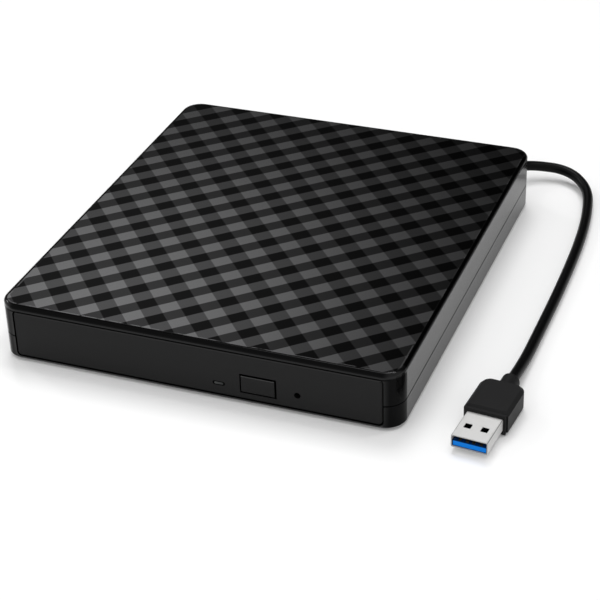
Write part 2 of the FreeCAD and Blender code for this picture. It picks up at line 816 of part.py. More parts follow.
def make_plug_housing(low, high, half):
    """Moulded grip with rounded shoulders, a front lip and a round boot on the cable."""
    grip_width = size("grip_width", 14.7)
    grip_height = size("grip_height", 8)
    lip_length = size("plug_lip_length", 1)
    lip_step = size("plug_lip_step", 0.5)
    grip_end = size("grip_end", 31.8)
    shoulder = size("grip_shoulder", 3.6)
    grip_bevel = size("grip_bevel", 1.1)
    boot_radius = size("boot_radius", 3)
    boot_tip = size("boot_tip", 2.4)
    boot_round = size("boot_round", 0.8)
    grip = new_body("grip_body")
    outline = new_sketch(grip, "XY_Plane", plug_middle - grip_height / 2)
    half_grip = grip_width / 2
    grip_front = housing_front + lip_length
    draw_rectangle(outline, -half_grip, half_grip, grip_front, grip_end)
    pad(grip, outline, grip_height)
    soften(grip, shoulder, lambda edge: runs_along(edge, "z") and near(mid(edge).y, grip_end.value))
    levels = [(plug_middle - grip_height / 2).value, (plug_middle + grip_height / 2).value]
    bevel(grip, grip_bevel, lambda edge: any(is_level(edge, level) for level in levels))
    lip = new_sketch(grip, "XZ_Plane", -housing_front)
    draw_rectangle(lip, lip_step - half_grip, half_grip - lip_step,
                   lip_step, grip_height - lip_step)
    pad(grip, lip, lip_length, backwards=True)
    mouth = new_sketch(grip, "XZ_Plane", -housing_front)
    draw_rectangle(mouth, -half, half, low, high)
    pocket(grip, mouth, shell_length - housing_front)
    round_start = boot_end - boot_round
    boot = rod((0, grip_end, plug_middle), round_start - grip_end, boot_radius, "Y")
    tip = taper((0, round_start, plug_middle), boot_round, boot_radius, boot_tip, "Y")
    housing = join([grip, boot, tip])
    keep(move(housing, plug_x, plug_y, 0, angle=PLUG_TURN), "plug_housing")


# The drive's steel box, its slides and its latch post

guide_inner = size("guide_inner", 61.6)
guide_low = size("guide_low", 6)
guide_high = size("guide_high", 10.7)
groove_low = size("groove_low", 7)
groove_high = size("groove_high", 10)
rail_play = size("rail_play", 0.3)
rail_inner = size("rail_inner", 59.6)
rail_outer = size("rail_outer", 62.5)


def make_drive_box():
    """Folded steel pan, open in front, and a lid whose sides lap over it."""
    pan = new_body("pan_body")
    sketch = new_sketch(pan, "XY_Plane", drive_bottom)
    draw_rectangle(sketch, -drive_half, drive_half, drive_front, drive_back)
    pad(pan, sketch, lid_under - drive_bottom)
    inside = new_sketch(pan, "XY_Plane", lid_under)
    draw_rectangle(inside, steel - drive_half, drive_half - steel, drive_front - 1, drive_back - steel)
    pocket(pan, inside, lid_under - pan_floor)
    rear = new_sketch(pan, "XZ_Plane", -drive_back)
    draw_rectangle(rear, connector_left, connector_right, connector_base, connector_top)
    pocket(pan, rear, steel * 2, backwards=True)
    keep(pan, "drive_base")

    flange = size("lid_side_thick", 0.4)
    flange_base = size("lid_side_base", 12.5)
    lid = new_body("lid_body")
    sketch = new_sketch(lid, "XY_Plane", flange_base)
    edge = drive_half + flange
    draw_rectangle(sketch, -edge, edge, drive_front, drive_back)
    pad(lid, sketch, drive_top - flange_base)
    under = new_sketch(lid, "XZ_Plane", -(drive_front - 1))
    draw_rectangle(under, -drive_half, drive_half, flange_base - 1, lid_under)
    pocket(lid, under, drive_back - drive_front + 2)
    keep(lid, "drive_lid")


def make_slides():
    """Plastic guide channels fixed in the pan, and the folded steel rails that run in them."""
    guide_start = size("guide_start", -70)
    guide_end = size("guide_end", 48)
    groove_floor = size("groove_floor", 62.8)
    rail_start = size("rail_start", -66)
    rail_end = size("rail_end", 46)
    guide_outer = drive_half - steel
    low = groove_low + rail_play
    high = groove_high - rail_play
    for side, name in ((-1, "left"), (1, "right")):
        guide = new_body(f"guide_{name}_body")
        sketch = new_sketch(guide, "XZ_Plane", -guide_start)
        draw_outline(sketch, [(side * x, z) for x, z in (
            (guide_inner, guide_low), (guide_outer, guide_low), (guide_outer, guide_high),
            (guide_inner, guide_high), (guide_inner, groove_high), (groove_floor, groove_high),
            (groove_floor, groove_low), (guide_inner, groove_low))])
        pad(guide, sketch, guide_end - guide_start, backwards=True)
        keep(guide, f"guide_{name}")
        rail = new_body(f"rail_{name}_body")
        sketch = new_sketch(rail, "XZ_Plane", -rail_start)
        draw_outline(sketch, [(side * x, z) for x, z in (
            (rail_inner, low), (rail_outer, low), (rail_outer, high), (rail_inner, high),
            (rail_inner, high - steel), (rail_outer - steel, high - steel),
            (rail_outer - steel, low + steel), (rail_inner, low + steel))])
        pad(rail, sketch, rail_end - rail_start, backwards=True)
        keep(rail, f"rail_{name}")


post_x = size("post_x", 50.6)
post_y = size("post_y", -67)


def make_latch_post():
    """Steel post riveted to the pan, which the tray's hook catches."""
    post_radius = size("post_radius", 1.2)
    post_top = size("post_top", 9)
    keep(rod((post_x, post_y, pan_floor), post_top - pan_floor, post_radius), "latch_post")


# The tray moulding and its front bezel

tray_half = size("tray_half", 62.9)
skirt_half = size("skirt_half", 61.3)
skirt_inner = size("skirt_inner", 58.2)
tray_end = size("tray_end", 50.6)
skirt_low = size("skirt_low", 5.9)
tray_under = size("tray_under", 11)
tray_rim = size("tray_rim", 15.4)
well_floor = size("well_floor", 12.4)
well_radius = size("well_radius", 60.6)
small_well_radius = size("small_well_radius", 41)
small_well_floor = size("small_well_floor", 11.9)
beam_back = size("beam_back", -72.9)
spindle_opening = size("spindle_opening", 18)
slot_reach = size("slot_reach", 59.6)
slot_half = size("slot_half", 12)
slot_end_half = size("slot_end_half", 8.5)
slot_shoulder = size("slot_shoulder", 55)
MECHANISM_TURN = 228.0

button_x = size("button_x", 22.55)
button_z = size("button_z", 8.05)
button_width = size("button_width", 12)
button_height = size("button_height", 6.6)
button_play = size("button_play", 0.3)
led_x = size("led_x", 8.95)
led_z = size("led_z", 6.45)
led_length = size("led_length", 4.3)
led_height = size("led_height", 1.5)
hole_x = size("hole_x", 35.9)
hole_z = size("hole_z", 7.4)
hole_radius = size("hole_radius", 1.1)
board_low = size("tray_board_low", 6.6)
board_high = size("tray_board_high", 7.4)
latch_x = size("latch_x", 44)
latch_y = size("latch_y", -56)
latch_pin = size("latch_pin", 1.5)
latch_low = size("latch_low", 6.7)
latch_high = size("latch_high", 8.7)
TRAY_POSTS = [(size("tray_post_a_x", 4), size("tray_post_a_y", -68)),
              (size("tray_post_b_x", 29), size("tray_post_b_y", -66.5)),
              (size("tray_post_c_x", 28), size("tray_post_c_y", -40))]
tray_post = size("tray_post", 2)
DAMPERS = [(size("damper_a_u", -17), size("damper_a_v", -14)),
           (size("damper_b_u", -17), size("damper_b_v", 13.5)),
           (size("damper_c_u", 50), size("damper_c_v", -21.5)),
           (size("damper_d_u", 44), size("damper_d_v", 27))]


def mechanism_sketch(body, height):
    """A sketch whose X axis points from the disc's centre along the pickup's travel."""
    return new_sketch(body, "XY_Plane", height, MECHANISM_TURN, (0, disc_centre))


def make_tray():
    """Tray moulding: disc wells, spindle and pickup openings, and side skirts with rail grooves."""
    body = new_body("tray_body")
    skirt = new_sketch(body, "XY_Plane", skirt_low)
    draw_rectangle(skirt, -skirt_half, skirt_half, bezel_back, tray_end)
    pad(body, skirt, tray_under - skirt_low)
    hollow = new_sketch(body, "XY_Plane", skirt_low)
    draw_rectangle(hollow, -skirt_inner, skirt_inner, beam_back, tray_end + 1)
    pocket(body, hollow, tray_under - skirt_low, backwards=True)
    deck = new_sketch(body, "XY_Plane", tray_under)
    draw_rectangle(deck, -tray_half, tray_half, bezel_back, tray_end)
    pad(body, deck, tray_rim - tray_under)
    add_square_posts(body, TRAY_POSTS, tray_post, board_high, tray_under)
    latch_shoulder = size("latch_shoulder", 9)
    latch_foot = size("latch_foot", 2.6)
    add_posts(body, [(latch_x, latch_y)], latch_foot, latch_shoulder, tray_under)
    latch_pin_low = size("latch_pin_low", 6.1)
    add_posts(body, [(latch_x, latch_y)], latch_pin, latch_pin_low, latch_shoulder)
    for radius, start, floor in ((well_radius, tray_rim, well_floor),
                                 (small_well_radius, well_floor, small_well_floor)):
        sketch = new_sketch(body, "XY_Plane", start)
        draw_circle(sketch, 0, disc_centre, radius)
        pocket(body, sketch, start - floor)
    slot = mechanism_sketch(body, well_floor)
    draw_outline(slot, [(0, -slot_half), (slot_shoulder, -slot_half), (slot_reach, -slot_end_half),
                        (slot_reach, slot_end_half), (slot_shoulder, slot_half), (0, slot_half)])
    pocket(body, slot, well_floor - tray_under)
    opening = new_sketch(body, "XY_Plane", well_floor)
    draw_circle(opening, 0, disc_centre, spindle_opening)
    pocket(body, opening, well_floor - tray_under)
    cut_rail_grooves(body)
    cut_tray_windows(body)
    keep(carve_tray_corners(body), "tray")


def cut_rail_grooves(body):
    """Grooves along both skirts, open at the back, that the rails run in."""
    groove_front = size("tray_groove_front", -71)
    groove_inner = size("tray_groove_inner", 59.3)
    sketch = new_sketch(body, "XZ_Plane", -(tray_end + 1))
    for side in (-1, 1):
        ends = sorted((side * groove_inner, side * (skirt_half + 1)), key=lambda part: part.value)
        draw_rectangle(sketch, ends[0], ends[1], groove_low, groove_high)
    pocket(body, sketch, tray_end + 1 - groove_front, backwards=True)


def cut_tray_windows(body):
    """Windows in the front beam for the switch, the lamp and the emergency pin."""
    switch_half = size("switch_window_half", 2.2)
    switch_top = size("switch_window_top", 10.2)
    lamp_half = size("lamp_window_half", 2)
    lamp_top = size("lamp_window_top", 8.2)
    pin_half = size("pin_window_half", 1.3)
    beam = beam_back - bezel_back
    overrun = size("window_overrun", 1.5)
    low = skirt_low - 1
    for x, half, top in ((button_x, switch_half, switch_top), (led_x, lamp_half, lamp_top),
                         (hole_x, pin_half, hole_z + pin_half)):
        cut_front(body, x - half, x + half, low, top, bezel_back - 1, beam + overrun)


def carve_tray_corners(body):
    """Finger scallops beside the disc, and hollows under the four solid corners."""
    scallop_x = size("scallop_x", 42)
    scallop_y = size("scallop_y", -56)
    scallop_radius = size("scallop_radius", 8)
    skin = size("tray_skin", 1.4)
    hollow_floor = tray_rim - skin
    scallops = [rod((side * scallop_x, scallop_y, well_floor), tray_rim - well_floor, scallop_radius)
                for side in (-1, 1)]
    block = box((skin - tray_half, bezel_back + skin, tray_under - 1),
                (tray_half - skin, tray_end - skin, hollow_floor))
    keep_out = [rod((0, disc_centre, tray_under - 2), tray_rim, well_radius + skin)]
    for side in (-1, 1):
        keep_out.append(rod((side * scallop_x, scallop_y, tray_under - 2), tray_rim,
                            scallop_radius + skin))
        inner_face = side * skirt_inner
        outer_face = side * (skirt_half + skin)
        ends = sorted((inner_face, outer_face), key=lambda part: part.value)
        keep_out.append(box((ends[0], bezel_back, tray_under - 2), (ends[1], tray_end, tray_rim)))
    hollows = carve(block, keep_out)
    return carve(body, [*scallops, hollows])


BEZEL_RIBS = (-52, -35, -18, -2, 46, 57)


def make_bezel():
    """Front bezel: a shallow hollow moulding with the button window, lamp slot and pin hole."""
    half = opening_width / 2 - bezel_gap
    low = opening_bottom + bezel_gap
    high = opening_top - bezel_gap
    skin = size("bezel_skin", 1.8)
    rim = size("bezel_rim", 1.6)
    corner = size("bezel_corner", 1.3)
    edge = size("bezel_edge", 0.4)
    rib = size("bezel_rib", 1)
    body = new_body("bezel_body")
    sketch = new_sketch(body, "XZ_Plane", half_depth)
    draw_rectangle(sketch, -half, half, low, high)
    pad(body, sketch, bezel_depth, backwards=True)
    soften(body, corner, lambda item: runs_along(item, "y"))
    front = -half_depth.value
    bevel(body, edge, lambda item: near(item.BoundBox.YMin, front) and near(item.BoundBox.YMax, front))
    back = new_sketch(body, "XZ_Plane", -bezel_back)
    draw_rectangle(back, rim - half, half - rim, low + rim, high - rim)
    pocket(body, back, bezel_depth - skin, backwards=True)
    ribs = new_sketch(body, "XZ_Plane", -bezel_back)
    for x in BEZEL_RIBS:
        draw_rectangle(ribs, as_dim(x), x + rib, low + rim / 2, high - rim / 2)
    pad(body, ribs, bezel_depth - skin)
    window_half = button_width / 2 + button_play
    window_rise = button_height / 2 + button_play
    start = -half_depth - 1
    cut_front(body, button_x - window_half, button_x + window_half, button_z - window_rise,
              button_z + window_rise, start, skin + 1)
    lamp = new_sketch(body, "XZ_Plane", -start)
    draw_slot(lamp, led_x, led_z, led_length, led_height)
    pocket(body, lamp, skin + 1)
    pin = new_sketch(body, "XZ_Plane", -start)
    draw_circle(pin, hole_x, hole_z, hole_radius)
    pocket(body, pin, skin + 1)
    keep(body, "front_bezel")

    lens = new_body("lens_body")
    sketch = new_sketch(lens, "XZ_Plane", half_depth)
    draw_slot(sketch, led_x, led_z, led_length, led_height)
    pad(lens, sketch, skin + rim / 2, backwards=True)
    keep(lens, "led_lens")


def make_button():
    """Eject button: a pillowed cap, a flange that stays behind the bezel, and a stem."""
    cap_depth = size("button_cap_depth", 2.1)
    flange_extra = size("button_flange_extra", 0.8)
    flange_thick = size("button_flange_thick", 0.8)
    stem_radius = size("button_stem_radius", 1.1)
    stem_end = size("button_stem_end", -74.9)
    edge = size("button_edge", 0.4)
    body = new_body("button_body")
    half_x = button_width / 2
    half_z = button_height / 2
    cap = new_sketch(body, "XZ_Plane", half_depth)
    draw_rectangle(cap, button_x - half_x, button_x + half_x, button_z - half_z, button_z + half_z)
    pad(body, cap, cap_depth, backwards=True)
    front = -half_depth.value
    soften(body, edge, lambda item: near(item.BoundBox.YMin, front) and near(item.BoundBox.YMax, front))
    flange = new_sketch(body, "XZ_Plane", half_depth - cap_depth)
    draw_rectangle(flange, button_x - half_x - flange_extra, button_x + half_x + flange_extra,
                   button_z - half_z - flange_extra, button_z + half_z + flange_extra)
    pad(body, flange, flange_thick, backwards=True)
    stem = new_sketch(body, "XZ_Plane", half_depth - cap_depth - flange_thick)
    draw_circle(stem, button_x, button_z, stem_radius)
    pad(body, stem, stem_end + half_depth - cap_depth - flange_thick, backwards=True)
    keep(body, "eject_button")


def make_tray_board():
    """The tray's circuit board on three posts, with its switch, lamp and chips."""
    front = size("tray_board_front", -72.4)
    left = size("tray_board_left", 0)
    right = size("tray_board_right", 33)
    back = size("tray_board_back", -36)
    back_left = size("tray_board_back_left", 23)
    left_back = size("tray_board_left_back", -61)
    board = new_body("tray_board_body")
    sketch = new_sketch(board, "XY_Plane", board_low)
    draw_outline(sketch, [(left, front), (right, front), (right, back), (back_left, back),
                          (left, left_back)])
    pad(board, sketch, board_high - board_low)
    keep(board, "tray_board")

    switch_half = size("switch_half", 2.8)
    switch_front = size("switch_front", -72.3)
    switch_depth = size("switch_depth", 3.2)
    switch_top = size("switch_top", 9.3)
    plunger_tip = size("plunger_tip", -73.9)
    plunger = size("plunger_radius", 0.8)
    chip = size("tray_chip_side", 9)
    chip_left = size("tray_chip_left", 16)
    chip_front = size("tray_chip_front", -60)
    chip_top = size("tray_chip_top", 8.6)
    plunger_z = size("plunger_z", 8.3)
    lamp_half = size("lamp_half", 1)
    lamp_depth = size("lamp_depth", 1.4)
    lamp_low = size("lamp_low", 6)
    socket_left = size("socket_left", 24)
    socket_right = size("socket_right", 29)
    socket_front = size("socket_front", -48)
    socket_depth = size("socket_depth", 4)
    parts = [
        box((button_x - switch_half, switch_front, board_high),
            (button_x + switch_half, switch_front + switch_depth, switch_top)),
        rod((button_x, plunger_tip, plunger_z), switch_front - plunger_tip, plunger, "Y"),
        box((led_x - lamp_half, switch_front, lamp_low),
            (led_x + lamp_half, switch_front + lamp_depth, board_low)),
        box((chip_left, chip_front, board_high), (chip_left + chip, chip_front + chip, chip_top)),
        box((socket_left, socket_front, board_high),
            (socket_right, socket_front + socket_depth, chip_top)),
    ]
    small_front = size("tray_small_front", -63)
    small_length = size("tray_small_length", 1.6)
    small_width = size("tray_small_width", 0.9)
    small_height = size("tray_small_height", 0.7)
    small_step = size("tray_small_step", 2.6)
    small_parts = 4
    for step in range(small_parts):
        x = chip_left + step * small_step
        parts.append(box((x, small_front, board_high),
                         (x + small_width, small_front + small_length, board_high + small_height)))
    keep(group(parts), "tray_components")


LATCH_OUTLINE = [
    (2.6, -2.2), (5.1, -6.0), (5.1, -10.4), (2.7, -10.4), (1.6, -8.2), (0, -4.5), (-6.2, -9.8),
    (-6.8, -13.8), (-9.4, -13.8), (-9.2, -10.6), (-3.0, -2.6), (-2.4, 4.6), (0.4, 5.6), (2.9, 3.2),
]


def make_latch():
    """Flat lever on a pin: one arm hooks the pan's post, the other meets the emergency pin."""
    lever = new_body("latch_body")
    sketch = new_sketch(lever, "XY_Plane", latch_low, 0.0, (latch_x, latch_y))
    draw_outline(sketch, LATCH_OUTLINE)
    pad(lever, sketch, latch_high - latch_low)
    pin_play = size("latch_pin_play", 0.05)
    drill(lever, [(latch_x, latch_y)], latch_pin + pin_play, latch_low - 1, latch_high + 1)
    keep(lever, "latch_lever")

    coil_left = size("solenoid_left", 36.5)
    coil_right = size("solenoid_right", 46.5)
    coil_front = size("solenoid_front", -48)
    coil_back = size("solenoid_back", -40)
    coil_low = size("solenoid_low", 6.4)
    cheek = size("solenoid_cheek", 1.2)
    cheeks = [box((x, coil_front, coil_low), (x + cheek, coil_back, tray_under))
              for x in (coil_left, coil_right - cheek)]
    middle_y = (coil_front + coil_back) / 2
    middle_z = (coil_low + tray_under) / 2
    winding_half = size("winding_half", 1.9)
    core_reach = size("core_reach", 2)
    core_radius = size("core_radius", 1)
    winding = box((coil_left + cheek, middle_y - winding_half, middle_z - winding_half),
                  (coil_right - cheek, middle_y + winding_half, middle_z + winding_half))
    core = rod((coil_left - core_reach, middle_y, middle_z), core_reach, core_radius, "X")
    keep(join([*cheeks, winding, core]), "latch_solenoid")


# The traverse: plate, spindle, pickup and feed, drawn with X along the pickup's travel

plate_low = size("plate_low", 10)
plate_high = size("plate_high", 10.8)
rod_v = size("rod_v", 15)
rod_z = size("rod_z", 8)
main_rod = size("main_rod", 1.25)
side_rod = size("side_rod", 1)
rod_start = size("rod_start", 11.5)
rod_end = size("rod_end", 65.8)
screw_v = size("screw_v", 21.5)
screw_journal = size("screw_journal", 0.8)
rotor_radius = size("rotor_radius", 11.6)
ear_reach = size("ear_reach", 15.5)
damper_neck = size("damper_neck", 2.4)
EARS = [(-ear_reach, as_dim(0)), (as_dim(0), ear_reach), (as_dim(0), -ear_reach)]


def on_traverse(item, node):
    """Place a part of the traverse: turned about the disc's centre."""
    keep(move(item, 0, disc_centre, 0, angle=MECHANISM_TURN), node)


def make_traverse_mounts():
    """Rubber grommets that hang the plate under the tray."""
    flange = size("damper_flange", 3.6)
    flange_low = size("damper_low", 9.3)
    grommets = [join([rod((u, v, flange_low), plate_low - flange_low, flange),
                      rod((u, v, plate_low), tray_under - plate_low, damper_neck)])
                for u, v in DAMPERS]
    on_traverse(group(grommets), "traverse_dampers")


PLATE_OUTLINE = [
    (-22, -20), (-14, -26), (56, -26), (65, -17), (70, -8), (70, 8), (65, 17), (52, 31), (-14, 31),
    (-22, 24),
]


def make_traverse_plate():
    """Pressed steel plate with the spindle hole, the pickup window and turned-down edges."""
    plate = new_body("plate_body")
    sketch = new_sketch(plate, "XY_Plane", plate_low)
    draw_outline(sketch, PLATE_OUTLINE)
    pad(plate, sketch, plate_high - plate_low)
    flange_drop = size("plate_flange_drop", 1.4)
    flange_thick = size("plate_flange_thick", 0.8)
    flange_start = size("plate_flange_start", -14)
    near_side = size("plate_near_side", -26)
    near_end = size("plate_near_end", 50)
    far_side = size("plate_far_side", 31)
    far_end = size("plate_far_end", 34)
    edges = new_sketch(plate, "XY_Plane", plate_low - flange_drop)
    draw_rectangle(edges, flange_start, near_end, near_side, near_side + flange_thick)
    draw_rectangle(edges, flange_start, far_end, far_side - flange_thick, far_side)
    pad(plate, edges, flange_drop)
    window_start = size("window_start", 13.6)
    window_end = size("window_end", 66)
    window_half = size("window_half", 9.5)
    holes = new_sketch(plate, "XY_Plane", plate_low)
    draw_rectangle(holes, window_start, window_end, -window_half, window_half)
    draw_circle(holes, 0, 0, rotor_radius + 1)
    for u, v in DAMPERS:
        draw_circle(holes, u, v, damper_neck)
    pocket(plate, holes, plate_high - plate_low, backwards=True)
    on_traverse(plate, "mechanism_plate")


def make_spindle():
    """Motor base with its bearing tube and stator, the rotor cup, and the disc hub with claws."""
    base_low = size("motor_base_low", 6)
    base_high = size("motor_base_high", 6.8)
    base_radius = size("motor_base_radius", 12.6)
    bearing = size("bearing_radius", 2.8)
    shaft = size("shaft_radius", 1.5)
    shaft_play = size("shaft_play", 0.05)
    bearing_top = size("bearing_top", 9.6)
    ear_radius = size("ear_radius", 2)
    stator = size("stator_radius", 9.4)
    tooth_half = size("tooth_half", 1)
    tooth_low = size("tooth_low", 7.3)
    tooth_high = size("tooth_high", 9)
    teeth = 9
    motor = new_body("motor_body")
    sketch = new_sketch(motor, "XY_Plane", base_low)
    draw_circle(sketch, 0, 0, base_radius)
    pad(motor, sketch, base_high - base_low)
    for angle in (0, 90, 180):
        arm = new_sketch(motor, "XY_Plane", base_low, 90.0 + angle)
        draw_rectangle(arm, ear_radius, ear_reach + ear_radius, -ear_radius, ear_radius)
        pad(motor, arm, base_high - base_low)
    add_square_posts(motor, EARS, ear_radius, base_low, plate_low)
    add_posts(motor, [(0, 0)], bearing, base_high, bearing_top)
    tooth = new_sketch(motor, "XY_Plane", tooth_low)
    draw_rectangle(tooth, 1, stator, -tooth_half, tooth_half)
    first_tooth = pad(motor, tooth, tooth_high - tooth_low)
    pattern = motor.newObject("PartDesign::PolarPattern", "teeth")
    pattern.Originals = [first_tooth]
    pattern.Axis = (tooth, ["N_Axis"])
    pattern.Angle = 360.0
    pattern.Occurrences = teeth
    motor.Tip = pattern
    refresh(pattern)
    drill(motor, [(0, 0)], shaft + shaft_play, base_high, bearing_top + 1)
    on_traverse(motor, "spindle_motor")

    cup_wall = size("cup_wall", 0.7)
    shaft_gap = size("shaft_gap", 0.2)
    cup_low = size("cup_low", 7.1)
    cup_roof = size("cup_roof", 10.6)
    cup_top = size("cup_top", 11.4)
    shaft_low = base_high + shaft_gap
    rotor = new_body("rotor_body")
    sketch = new_sketch(rotor, "XZ_Plane", 0)
    draw_outline(sketch, [(0, shaft_low), (shaft, shaft_low), (shaft, cup_roof),
                          (rotor_radius - cup_wall, cup_roof), (rotor_radius - cup_wall, cup_low),
                          (rotor_radius, cup_low), (rotor_radius, cup_top), (0, cup_top)])
    revolve(rotor, sketch)
    on_traverse(rotor, "spindle_rotor")
    make_hub(cup_top)


def make_hub(cup_top):
    """Disc hub: a flange with a rubber ring, and a boss with three sprung claws."""
    flange_radius = size("hub_flange_radius", 14.5)
    flange_top = size("hub_flange_top", 12.9)
    boss = size("hub_boss", 7.45)
    boss_top = size("hub_boss_top", 14.75)
    nose = size("hub_nose", 5.6)
    nose_top = size("hub_nose_top", 15.9)
    ring_inner = size("ring_inner", 11)
    ring_outer = size("ring_outer", 14.2)
    claw_low = size("claw_low", 14.9)
    claw_high = size("claw_high", 15.6)
    claw_half = size("claw_half", 1.2)
    claw_root = size("claw_root", 4.4)
    claw_nose = size("claw_nose", 7.85)
    claw_play = size("claw_play", 0.12)
    claw_travel = size("claw_travel", 0.55)
    claws = 3
    hub = new_body("hub_body")
    sketch = new_sketch(hub, "XZ_Plane", 0)
    draw_outline(sketch, [(0, cup_top), (flange_radius, cup_top), (flange_radius, flange_top),
                          (boss, flange_top), (boss, boss_top), (nose, nose_top),
                          (0, nose_top)])
    revolve(hub, sketch)
    slot = new_sketch(hub, "XY_Plane", claw_low - claw_play)
    draw_rectangle(slot, claw_root - claw_travel - claw_play, boss + 1, -claw_half - claw_play,
                   claw_half + claw_play)
    first_slot = pocket(hub, slot, claw_high - claw_low + claw_play * 2, backwards=True)
    pattern = hub.newObject("PartDesign::PolarPattern", "claw_slots")
    pattern.Originals = [first_slot]
    pattern.Axis = (slot, ["N_Axis"])
    pattern.Angle = 360.0
    pattern.Occurrences = claws
    hub.Tip = pattern
    refresh(pattern)
    on_traverse(hub, "disc_hub")
    ring = carve(rod((0, 0, flange_top), disc_seat - flange_top, ring_outer),
                 [rod((0, 0, flange_top - 1), boss_top - flange_top, ring_inner)])
    on_traverse(ring, "disc_pad")
    slope = size("claw_slope", 0.5)
    for index in range(claws):
        claw = new_body(f"claw_{index + 1}_body")
        sketch = new_sketch(claw, "XZ_Plane", -claw_half)
        draw_outline(sketch, [(claw_root, claw_low), (claw_nose - slope, claw_low),
                              (claw_nose, claw_low + slope / 2), (claw_nose - slope, claw_high),
                              (claw_root, claw_high)])
        pad(claw, sketch, claw_half * 2)
        turn = MECHANISM_TURN + 360.0 * index / claws
        keep(move(claw, 0, disc_centre, 0, angle=turn), f"hub_claw_{index + 1}")


def make_pickup():
    """Pickup sled on two rods, its lens carrier, and the screw and motor that move it."""
    sled_start = size("sled_start", 15)
    sled_end = size("sled_end", 31)
    sled_half = size("sled_half", 17)
    sled_low = size("sled_low", 6.1)
    sled_high = size("sled_high", 9.8)
    tower_start = size("tower_start", 17.5)
    tower_end = size("tower_end", 27.2)
    tower_half = size("tower_half", 7)
    tower_top = size("tower_top", 11.2)
    lens_u = size("lens_u", 23.5)
    lens_half = size("lens_half", 3)
    lens_side = size("lens_side", 5)
    lens_gap = size("lens_gap", 0.3)
    lens_low = size("lens_low", 10)
    lens_high = size("lens_high", 11.6)
    lens_radius = size("lens_radius", 2)
    lens_tip = size("lens_tip", 1.2)
    lens_rise = size("lens_rise", 0.35)
    recess_floor = size("recess_floor", 9.4)
    arm_start = size("arm_start", 20)
    arm_end = size("arm_end", 26)
    arm_tip = size("arm_tip", 20.1)
    play = size("rod_play", 0.05)
    waist = size("sled_waist", 4)
    sled = new_body("sled_body")
    sketch = new_sketch(sled, "XY_Plane", sled_low)
    draw_outline(sketch, [
        (sled_start, -sled_half), (sled_end - waist, -sled_half), (sled_end, waist - sled_half),
        (sled_end, sled_half - waist), (sled_end, sled_half), (arm_end, sled_half),
        (arm_end, arm_tip), (arm_start, arm_tip), (arm_start, sled_half), (sled_start, sled_half)])
    pad(sled, sketch, sled_high - sled_low)
    tower = new_sketch(sled, "XY_Plane", sled_high)
    draw_rectangle(tower, tower_start, tower_end, -tower_half, tower_half)
    pad(sled, tower, tower_top - sled_high)
    recess = new_sketch(sled, "XY_Plane", tower_top)
    draw_rectangle(recess, lens_u - lens_half - lens_gap, lens_u + lens_half + lens_gap,
                   -lens_side - lens_gap, lens_side + lens_gap)
    pocket(sled, recess, tower_top - recess_floor)
    bores = new_sketch(sled, "YZ_Plane", sled_start - 1)
    draw_circle(bores, rod_v, rod_z, main_rod + play)
    pocket(sled, bores, sled_end - sled_start + 2, backwards=True)
    fork = new_sketch(sled, "YZ_Plane", sled_start - 1)
    draw_rectangle(fork, -sled_half - 1, side_rod + play - rod_v, rod_z - side_rod - play,
                   rod_z + side_rod + play)
    pocket(sled, fork, sled_end - sled_start + 2, backwards=True)
    on_traverse(sled, "pickup_sled")

    carrier = box((lens_u - lens_half, -lens_side, lens_low), (lens_u + lens_half, lens_side, lens_high))
    eye = taper((lens_u, 0, lens_high), lens_rise, lens_radius, lens_tip)
    on_traverse(join([carrier, eye]), "pickup_lens")

    length = rod_end - rod_start
    on_traverse(group([rod((rod_start, rod_v, rod_z), length, main_rod, "X")]), "guide_rod_main")
    on_traverse(group([rod((rod_start, -rod_v, rod_z), length, side_rod, "X")]), "guide_rod_side")

    clamp_low = size("clamp_low", 6.4)
    clamp_half = size("clamp_half", 2)
    inner_clamp = size("inner_clamp", 3)
    outer_clamp = size("outer_clamp", 2.5)
    clamps = []
    for v, radius in ((rod_v, main_rod), (-rod_v, side_rod)):
        for start, depth in ((rod_start, inner_clamp), (rod_end - outer_clamp, outer_clamp)):
            block = box((start, v - clamp_half, clamp_low), (start + depth, v + clamp_half, plate_low))
            saddle = rod((start - 1, v, rod_z), depth + 2, radius, "X")
            mouth = box((start - 1, v - radius, rod_z), (start + depth + 1, v + radius, plate_low + 1))
            clamps.append(carve(block, [saddle, mouth]))
    bearing_start = size("bearing_start", 58)
    bearing_block = box((bearing_start, screw_v - clamp_half, clamp_low),
                        (bearing_start + outer_clamp, screw_v + clamp_half, plate_low))
    bearing_hole = rod((bearing_start - 1, screw_v, rod_z), outer_clamp + 2, screw_journal + play, "X")
    clamps.append(carve(bearing_block, [bearing_hole]))
    on_traverse(group(clamps), "rod_clamps")

    motor_start = size("feed_motor_start", -20)
    motor_end = size("feed_motor_end", -8)
    motor_half = size("feed_motor_half", 3.4)
    motor = new_body("feed_motor_body")
    sketch = new_sketch(motor, "YZ_Plane", motor_start)
    corner = size("feed_motor_corner", 1.2)
    low = rod_z * 2 - plate_low
    draw_outline(sketch, [
        (screw_v - motor_half + corner, low), (screw_v + motor_half - corner, low),
        (screw_v + motor_half, low + corner), (screw_v + motor_half, plate_low - corner),
        (screw_v + motor_half - corner, plate_low), (screw_v - motor_half + corner, plate_low),
        (screw_v - motor_half, plate_low - corner), (screw_v - motor_half, low + corner)])
    pad(motor, sketch, motor_end - motor_start)
    journal = size("journal_length", 2.6)
    end_play = size("screw_end_play", 0.3)
    bore = new_sketch(motor, "YZ_Plane", motor_end)
    draw_circle(bore, screw_v, rod_z, screw_journal + play)
    pocket(motor, bore, journal + end_play)
    on_traverse(motor, "feed_motor")

